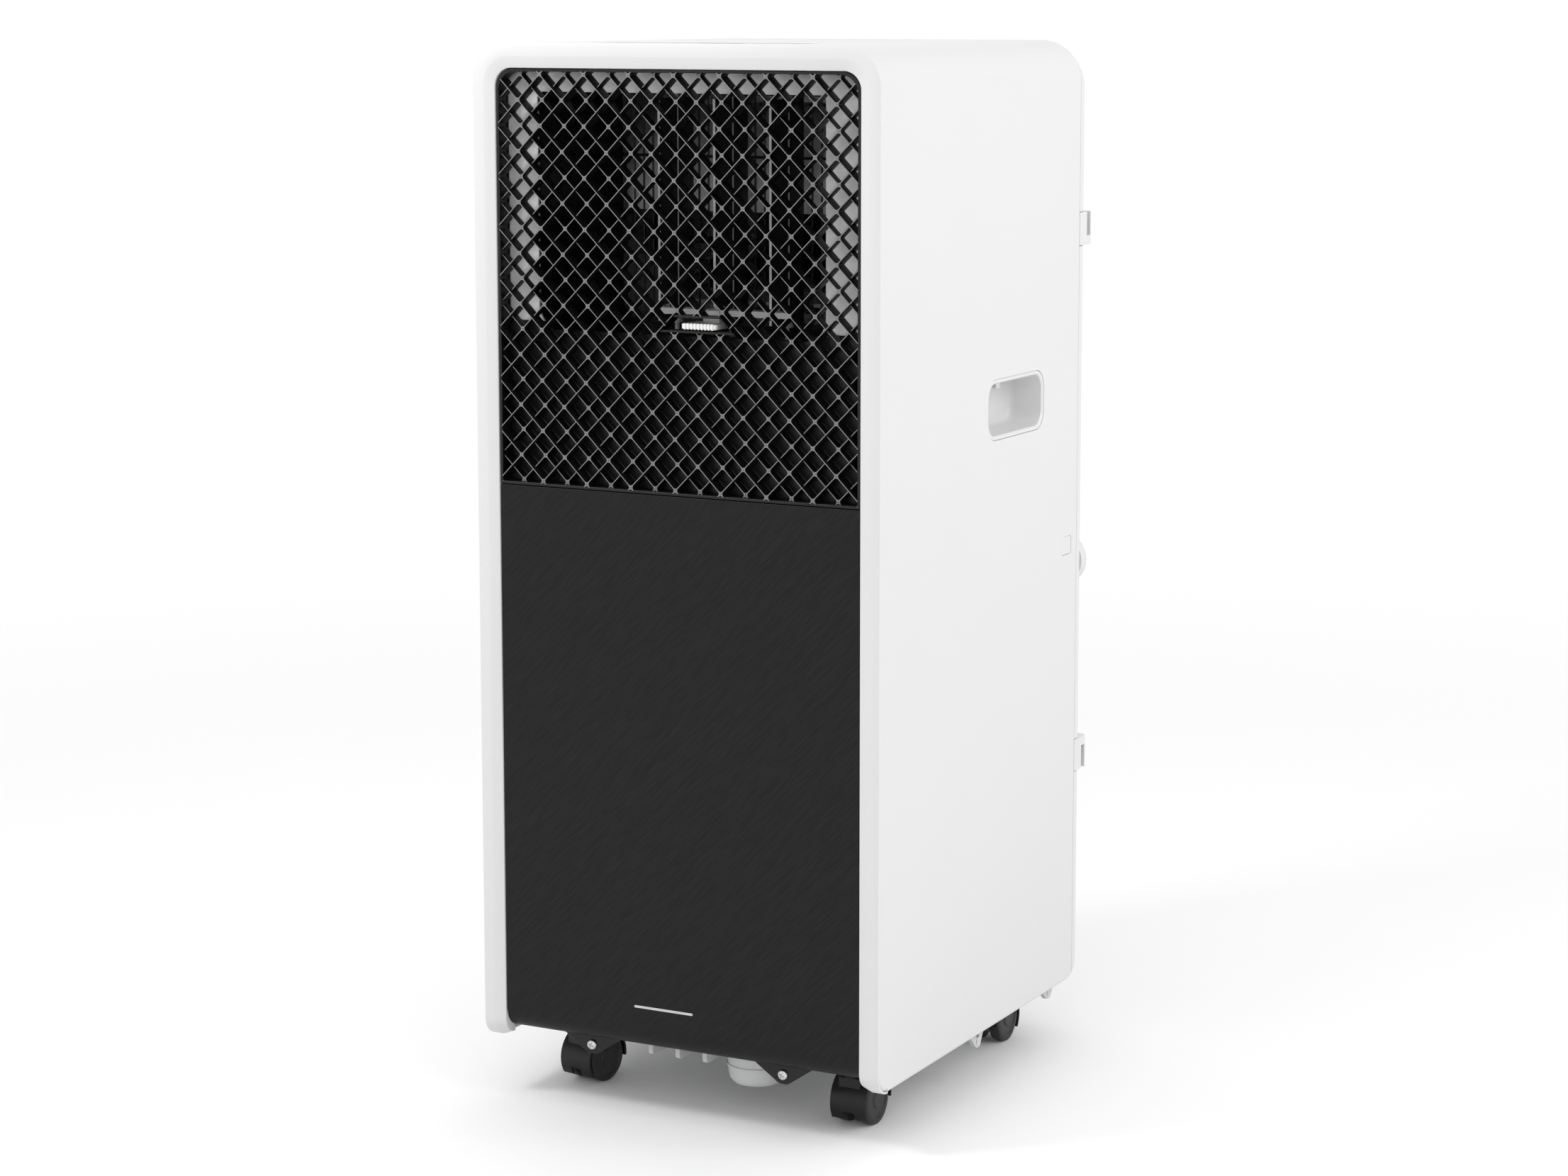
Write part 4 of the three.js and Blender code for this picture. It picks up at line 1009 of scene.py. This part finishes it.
# ---------------------------------------------------------------- studio
WORLD_LIGHT = 1.0
FLOOR_RADIUS = 14.0


def studio():
    world = bpy.data.worlds.new("studio")
    world.use_nodes = True
    background = world.node_tree.nodes["Background"]
    background.inputs["Color"].default_value = (1, 1, 1, 1)
    background.inputs["Strength"].default_value = WORLD_LIGHT
    bpy.context.scene.world = world
    bpy.context.scene.view_settings.view_transform = "Standard"
    floor = mesh_object("floor", ([(0, 0, -0.2)], []))
    bm = bmesh.new()
    bmesh.ops.create_circle(bm, cap_ends=True, segments=96, radius=FLOOR_RADIUS)
    bm.to_mesh(floor.data)
    bm.free()
    floor.location.z = -0.0002
    floor.data.materials.append(floor_material())
    area_light("front", (0.9, -2.2, 1.2), 0.5, 2)
    area_light("key_left", (-0.6, -0.75, 1.25), 0.3, 6)
    area_light("fill_right", (1.5, 0.0, 1.15), 0.9, 9)


def floor_material():
    """Pale paper that fades into the white surroundings a couple of metres out."""
    look = Look("studio_floor", (0.86, 0.86, 0.86), 0.8, spread=0.002)
    length = look.nodes.new("ShaderNodeVectorMath")
    length.operation = "LENGTH"
    look.links.new(look.place, length.inputs[0])
    fade = look.nodes.new("ShaderNodeMapRange")
    fade.interpolation_type = "SMOOTHSTEP"
    fade.inputs["From Min"].default_value = 0.5
    fade.inputs["From Max"].default_value = 2.2
    glow = look.nodes.new("ShaderNodeEmission")
    glow.inputs["Strength"].default_value = WORLD_LIGHT
    mix = look.nodes.new("ShaderNodeMixShader")
    output = look.nodes["Material Output"]
    look.links.new(length.outputs["Value"], fade.inputs["Value"])
    look.links.new(fade.outputs["Result"], mix.inputs[0])
    look.links.new(look.shader.outputs["BSDF"], mix.inputs[1])
    look.links.new(glow.outputs["Emission"], mix.inputs[2])
    look.links.new(mix.outputs["Shader"], output.inputs["Surface"])
    return look.material


def area_light(name, place, size, power):
    light = bpy.data.lights.new(name, "AREA")
    light.size = size
    light.energy = power
    lamp = bpy.data.objects.new(name, light)
    lamp.location = place
    lamp.rotation_euler = (Vector((0, 0, 0.35)) - Vector(place)).to_track_quat("-Z", "Y").to_euler()
    bpy.context.scene.collection.objects.link(lamp)


def camera():
    azimuth, elevation = math.radians(CAMERA_AZIMUTH), math.radians(CAMERA_ELEVATION)
    away = Vector((math.sin(azimuth) * math.cos(elevation), -math.cos(azimuth) * math.cos(elevation),
                   math.sin(elevation)))
    lens = bpy.data.cameras.new("camera")
    lens.lens = CAMERA_LENS
    lens.sensor_width = 36
    lens.shift_x, lens.shift_y = CAMERA_SHIFT
    eye = bpy.data.objects.new("camera", lens)
    eye.location = CAMERA_TARGET + away * CAMERA_DISTANCE
    eye.rotation_euler = (-away).to_track_quat("-Z", "Y").to_euler()
    bpy.context.scene.collection.objects.link(eye)
    bpy.context.scene.camera = eye


# ---------------------------------------------------------------- assembly
camera()
front_bezel()
front_panel()
panel_screw(-LUG_X, "left")
panel_screw(LUG_X, "right")
front_grille()
outlet_surround()
lower_backing()
outlet_duct()
finger_guard()
vanes()
vane_link()
thumb_lever()
for side, word in ((-1, "left"), (1, "right")):
    side_panel(side, word)
    handle_cup(side, word)
side_cover()
top_plate()
rear_cover()
control_panel()
filters()
cord_hook("upper")
cord_hook("lower")
rear_fittings()
base_pan()
for corner in CASTER_TURN:
    caster(corner)
inside()
studio()
